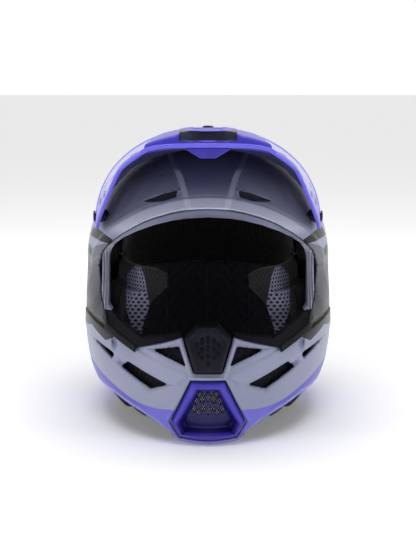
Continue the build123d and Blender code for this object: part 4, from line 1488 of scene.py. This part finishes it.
class HELMET_OT_screens(HelmetOperator, bpy.types.Operator):
    """Make the wire screens behind the vents, in the brow, at the back and in the peak"""

    bl_idname = "helmet.screens"
    bl_label = "Vent screens"

    def make(self, sizes):
        tree = wire_tree()
        dark = plain("screen_wire", tint(22, 22, 28), 0.5, metallic=0.2)
        pale = plain("brow_wire", tint(104, 106, 124), 0.4, metallic=0.3)
        cross = [(0.5, 0.866), (0.5, -0.866)]
        for hand, word in ((1, "right"), (-1, "left")):

            def screen(name, outlines, pitch, inset, material, radius, rear=False):
                def place(x, z):
                    return depth_point(x, z, inset, rear) * np.array([hand, 1, 1])

                joined = bpy.data.meshes.new(name)
                work = bmesh.new()
                for points in outlines:
                    part = weave(points, pitch, cross, place, 1.6)
                    work.from_mesh(part)
                work.to_mesh(joined)
                work.free()
                return grown(name, joined, tree, material, wire_radius=radius * MM, sides=5)

            chin = screen(f"chin_screen_{word}", (UPPER_HOLE, LOWER_HOLE, SIDE_HOLE), 2.3, 7.2, dark, 0.34)
            settle(chin, "helmet", "mesh_wire", f"chin_side_mesh_{word}")
            brow = screen(f"brow_screen_{word}", (BROW_HOLE,), 1.7, 2.2, pale, 0.3)
            settle(brow, "helmet", "mesh_wire", f"brow_mesh_{word}")
            for hole, part in zip(REAR_HOLES, ("upper", "lower")):
                rear = screen(f"rear_{part}_screen_{word}", (hole,), 3.0, 2.2, dark, 0.5, True)
                settle(rear, "helmet", "black_plastic", f"rear_{part}_grille_{word}")

        def wall(x, z):
            return np.stack([x, np.full_like(x, -115.0), z], axis=-1)

        slot = weave([(-27, 267), (27, 267), (27, 280.5), (-27, 280.5)], 1.5, cross, wall)
        settle(
            grown("peak_screen", slot, tree, pale, wire_radius=0.32 * MM, sides=5), "peak", "mesh_wire",
            "peak_intake_mesh"
        )

        def behind(x, z):
            return depth_point(x, z, 13.5)

        filter_mesh = weave([(-19, 54), (19, 54), (24, 22), (-24, 22)], 1.8, cross, behind)
        piece = grown("scoop_screen", filter_mesh, tree, dark, wire_radius=0.4 * MM, sides=5)
        settle(piece, "helmet", "mesh_wire", "chin_filter")


def dress(material, *names):
    """Gives carried-over nodes a finish."""
    for name in names:
        for slot in frame["nodes"][name].material_slots:
            slot.material = material


class HELMET_OT_fixings(HelmetOperator, bpy.types.Operator):
    """Make the peak's screws and the strap's rivets, and finish their inserts, the rings and the snap"""

    bl_idname = "helmet.fixings"
    bl_label = "Fixings"

    def make(self, sizes):
        stamps = stamp_tree()
        dark = plain("screw_finish", tint(70, 66, 110), 0.35, metallic=0.8, spread=0.2)
        steel = plain("bright_steel", tint(176, 178, 184), 0.28, grain=2400.0, metallic=1.0, spread=0.2)
        head = turned(
            "screw_shape",
            [
                (2.9, -17), (2.9, -0.2), (5.2, 0), (5.4, 0.4), (5.2, 1.0), (4.4, 1.4), (2.9, 1.5), (2.6, 1.3),
                (2.5, 0.2)
            ],
            30,
            7,
        )
        up = (0, math.sin(POST_LEAN), math.cos(POST_LEAN))
        top = (0, PIVOT_Y + POST_REACH * up[1], PIVOT_Z + POST_REACH * up[2])
        spots = [(SCREW_X, PIVOT_Y, PIVOT_Z), (-SCREW_X, PIVOT_Y, PIVOT_Z), top]
        aims = [(1, 0, 0), (-1, 0, 0), up]
        piece = grown("peak_screws", pointed(spots, aims), stamps, dark, shape=head, size=1.0)
        settle(piece, "helmet", "fixing", "peak_screw_left", "peak_screw_right", "centre_screw")
        bpy.data.objects.remove(head)
        dome = turned(
            "rivet_shape", [(2.4, -9), (2.4, 0), (6.4, 0), (6.4, 0.3), (5.2, 0.8), (3.2, 1.0), (0.6, 1.05)]
        )
        spots, aims = [(RIVET_X, STRAP_Y, RIVET_Z), (-RIVET_X, STRAP_Y, RIVET_Z)], [(1, 0, 0), (-1, 0, 0)]
        piece = grown("strap_rivets", pointed(spots, aims), stamps, steel, shape=dome, size=1.0)
        settle(piece, "helmet", "steel", "strap_rivet_left", "strap_rivet_right")
        bpy.data.objects.remove(dome)
        dress(steel, "d_ring_lower", "d_ring_upper")
        black = plain("insert_plastic", tint(30, 30, 34), 0.45)
        dress(black, "strap_snap", "centre_post", "peak_insert_left", "peak_insert_right")


def webbing(name, yarn):
    """Woven webbing: herringbone ribs along its length and a change of yarn tone."""
    f = Finish(name, rough=0.8, sheen_weight=0.25, sheen_roughness=0.4)
    u, v = f.map()
    rib = (v + u.math("PINGPONG", 3.1)).math("PINGPONG", 0.55) * (1 / 0.55)
    edge = u.math("ABSOLUTE").between(10.6, 11.4)
    tone = f.mix(f.noise(220.0, 3.0).between(0.3, 0.7), yarn, dimmed(yarn, 0.6))
    f.colour(f.mix(rib.between(0.5, 0.0) * 0.6, tone, dimmed(yarn, 0.35)))
    f.bump(rib + edge * 0.5, 0.25, 0.8)
    return f.material


class HELMET_OT_straps(HelmetOperator, bpy.types.Operator):
    """Make the chin strap's webbing, its stitches, its anchors and the cheek pads' release tabs"""

    bl_idname = "helmet.straps"
    bl_label = "Straps"

    def make(self, sizes):
        weave_black = webbing("strap_webbing", tint(34, 34, 38))
        thread = plain("stitch_thread", tint(96, 96, 104), 0.7)
        stamps = stamp_tree()
        ring_end = [
            (-84, 10), (-37, 10), (-31, 13.6), (-26, 15.0), (-22.9, 12.4), (-22.9, 7.6), (-26, 5.0),
            (-31, 6.2), (-37, 8.0), (-60, 8.1)
        ]
        left = ribbon("strap_ring_side", ring_end, WEB_WIDTH, 1.7, weave_black, STRAP_Y)
        settle(left, "strap_left", "webbing", "chin_strap_rings")
        tail = [(84, 7.6), (14, 7.6), (12.3, 8.3), (11.6, 10), (12.3, 11.7), (14, 12.4), (74, 12.4)]
        right = ribbon("strap_tail_side", tail, WEB_WIDTH, 1.9, weave_black, STRAP_Y)
        settle(right, "strap_right", "webbing", "chin_strap_tail")
        stitch = turned("stitch_shape", [(0.05, -1.1), (0.32, -0.8), (0.36, 0), (0.32, 0.8), (0.05, 1.1)], 6)

        def rows(x_low, x_high, z):
            """A stitched box: two rows along the strap, two across it and one along its middle."""
            along_x = np.arange(x_low, x_high, 2.9)
            spots = [(x, STRAP_Y + dy, z) for dy in (-9.5, 0, 9.5) for x in along_x]
            aims = [(1, 0, 0)] * len(spots)
            across_y = np.arange(-8.2, 8.5, 2.9)
            spots += [(x, STRAP_Y + dy, z) for x in (x_low - 1.5, x_high - 0.5) for dy in across_y]
            return spots, aims + [(0, 1, 0)] * (2 * len(across_y))

        for name, body, ends, faces in (
            ("ring_side_stitches", "strap_left", (-57, -40), (10.9, 7.2)),
            ("tail_stitches", "strap_right", (66, 73), (13.4, 11.4)),
        ):
            spots, aims = [], []
            for z in faces:
                more, way = rows(*ends, z)
                spots, aims = spots + more, aims + way
            piece = grown(name, pointed(spots, aims), stamps, thread, shape=stitch, size=1.0)
            settle(piece, body, "webbing")
        bpy.data.objects.remove(stitch)
        red = webbing("tab_webbing", tint(170, 40, 52))
        heights = np.linspace(12.5, 91.5, 34)
        low, high = np.full_like(heights, 60.0), np.full_like(heights, 135.0)
        for _ in range(24):
            x = (low + high) / 2
            inside = form(x, np.full_like(x, STRAP_Y), heights) < -5.75
            low, high = np.where(inside, x, low), np.where(inside, high, x)
        for hand, word in ((1, "right"), (-1, "left")):
            path = [(hand * a, b) for a, b in zip(x, heights)]
            settle(
                ribbon(f"strap_anchor_web_{word}", path, WEB_WIDTH, 1.9, weave_black, STRAP_Y),
                "helmet", "webbing", f"strap_anchor_{word}",
            )
            loop = [
                (hand * a, b) for a,
                b in ((64.7, 15.4), (64.8, 11.5), (64.0, 8.8), (63.2, 11.5), (63.3, 15.4))
            ]
            settle(
                ribbon(f"release_loop_{word}", loop, 18.0, 0.7, red, -45.0), "helmet", "tab",
                f"release_tab_{word}"
            )


class HELMET_OT_stage(HelmetOperator, bpy.types.Operator):
    """Make the floor, the lights and the camera"""

    bl_idname = "helmet.stage"
    bl_label = "Stage"

    def make(self, sizes):
        scene = bpy.context.scene
        scene.view_settings.view_transform = "Standard"
        f = Finish("floor_white", rough=0.6)
        f.colour(f.mix(f.noise(3.0, 2.0), tint(250, 250, 251), tint(246, 246, 248)))
        x, y, _ = f.place()
        glow = (x * x + y * y).math("SQRT").between(200, 850) * 0.44 + 0.13
        f.tree.links.new(glow.socket, f.shader.inputs["Emission Strength"])
        f.shader.inputs["Emission Color"].default_value = (1, 1, 1, 1)
        mesh = bpy.data.meshes.new("studio_floor")
        ring = bmesh.new()
        corners = [ring.verts.new(c) for c in ((-60, -60, 0), (60, -60, 0), (60, 60, 0), (-60, 60, 0))]
        ring.faces.new(corners)
        ring.to_mesh(mesh)
        ring.free()
        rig.stage(finished("studio_floor", mesh, f.material))
        world = bpy.data.worlds.new("studio")
        scene.world = world
        world.use_nodes = True
        tree = world.node_tree
        turn, split = tree.nodes.new("ShaderNodeTexCoord"), tree.nodes.new("ShaderNodeSeparateXYZ")
        tree.links.new(turn.outputs["Generated"], split.inputs[0])
        tree.nodes["Background"].inputs["Color"].default_value = (1, 1, 1, 1)
        level = Wire(tree, split.outputs[2]).between(0.32, 0.07) * 0.72 + 0.30
        level = level.math("MULTIPLY", Wire(tree, split.outputs[1]).between(0.1, 0.75) * 0.42 + 0.58)
        tree.links.new(level.socket, tree.nodes["Background"].inputs["Strength"])

        def light(name, place, aim, width, height, power):
            data = bpy.data.lights.new(name, "AREA")
            data.shape, data.size, data.size_y, data.energy = "RECTANGLE", width, height, power
            lamp = bpy.data.objects.new(name, data)
            scene.collection.objects.link(lamp)
            lamp.location = place
            lamp.rotation_euler = (Vector(aim) - Vector(place)).to_track_quat("-Z", "Y").to_euler()

        light("top_softbox", (0, -0.35, 1.6), (0, -0.05, 0.15), 1.3, 1.0, 24)
        for word, hand in (("left", -1), ("right", 1)):
            light(f"{word}_strip", (1.25 * hand, -0.75, 0.55), (0, -0.05, 0.12), 0.35, 1.1, 3.5)
        camera = bpy.data.cameras.new("view")
        camera.sensor_width, camera.lens = 36.0, 83.0
        camera.clip_end = 60.0
        eye = bpy.data.objects.new("view", camera)
        scene.collection.objects.link(eye)
        eye.location = (0, -1.3, 0.32)
        eye.rotation_euler = (math.radians(90 - 8.42), 0, 0)
        scene.camera = eye


class HELMET_PT_panel(bpy.types.Panel):
    """Lists the steps that build the helmet"""

    bl_label = "Motocross helmet"
    bl_idname = "HELMET_PT_panel"
    bl_space_type = "VIEW_3D"
    bl_region_type = "UI"
    bl_category = "Helmet"

    def draw(self, context):
        for key in HelmetSettings.__annotations__:
            self.layout.prop(context.scene.helmet_settings, key)
        for step in STEPS:
            self.layout.operator(step.bl_idname)


STEPS = (
    HELMET_OT_stage, HELMET_OT_shell, HELMET_OT_peak, HELMET_OT_gasket, HELMET_OT_chin, HELMET_OT_foam,
    HELMET_OT_lining, HELMET_OT_screens, HELMET_OT_fixings, HELMET_OT_straps,
)


def register():
    for cls in (HelmetSettings, *STEPS, HELMET_PT_panel):
        bpy.utils.register_class(cls)
    bpy.types.Scene.helmet_settings = PointerProperty(type=HelmetSettings)


def unregister():
    del bpy.types.Scene.helmet_settings
    for cls in reversed((HelmetSettings, *STEPS, HELMET_PT_panel)):
        bpy.utils.unregister_class(cls)


def main():
    register()
    for step in STEPS:
        getattr(bpy.ops.helmet, step.bl_idname.split(".")[1])()
    boxes = {"cad": [list(c) for c in CAD_BOX], "visual": [list(c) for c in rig.bounds()]}
    with open("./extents.json", "w") as out:
        json.dump(boxes, out)


if __name__ == "__main__":
    main()
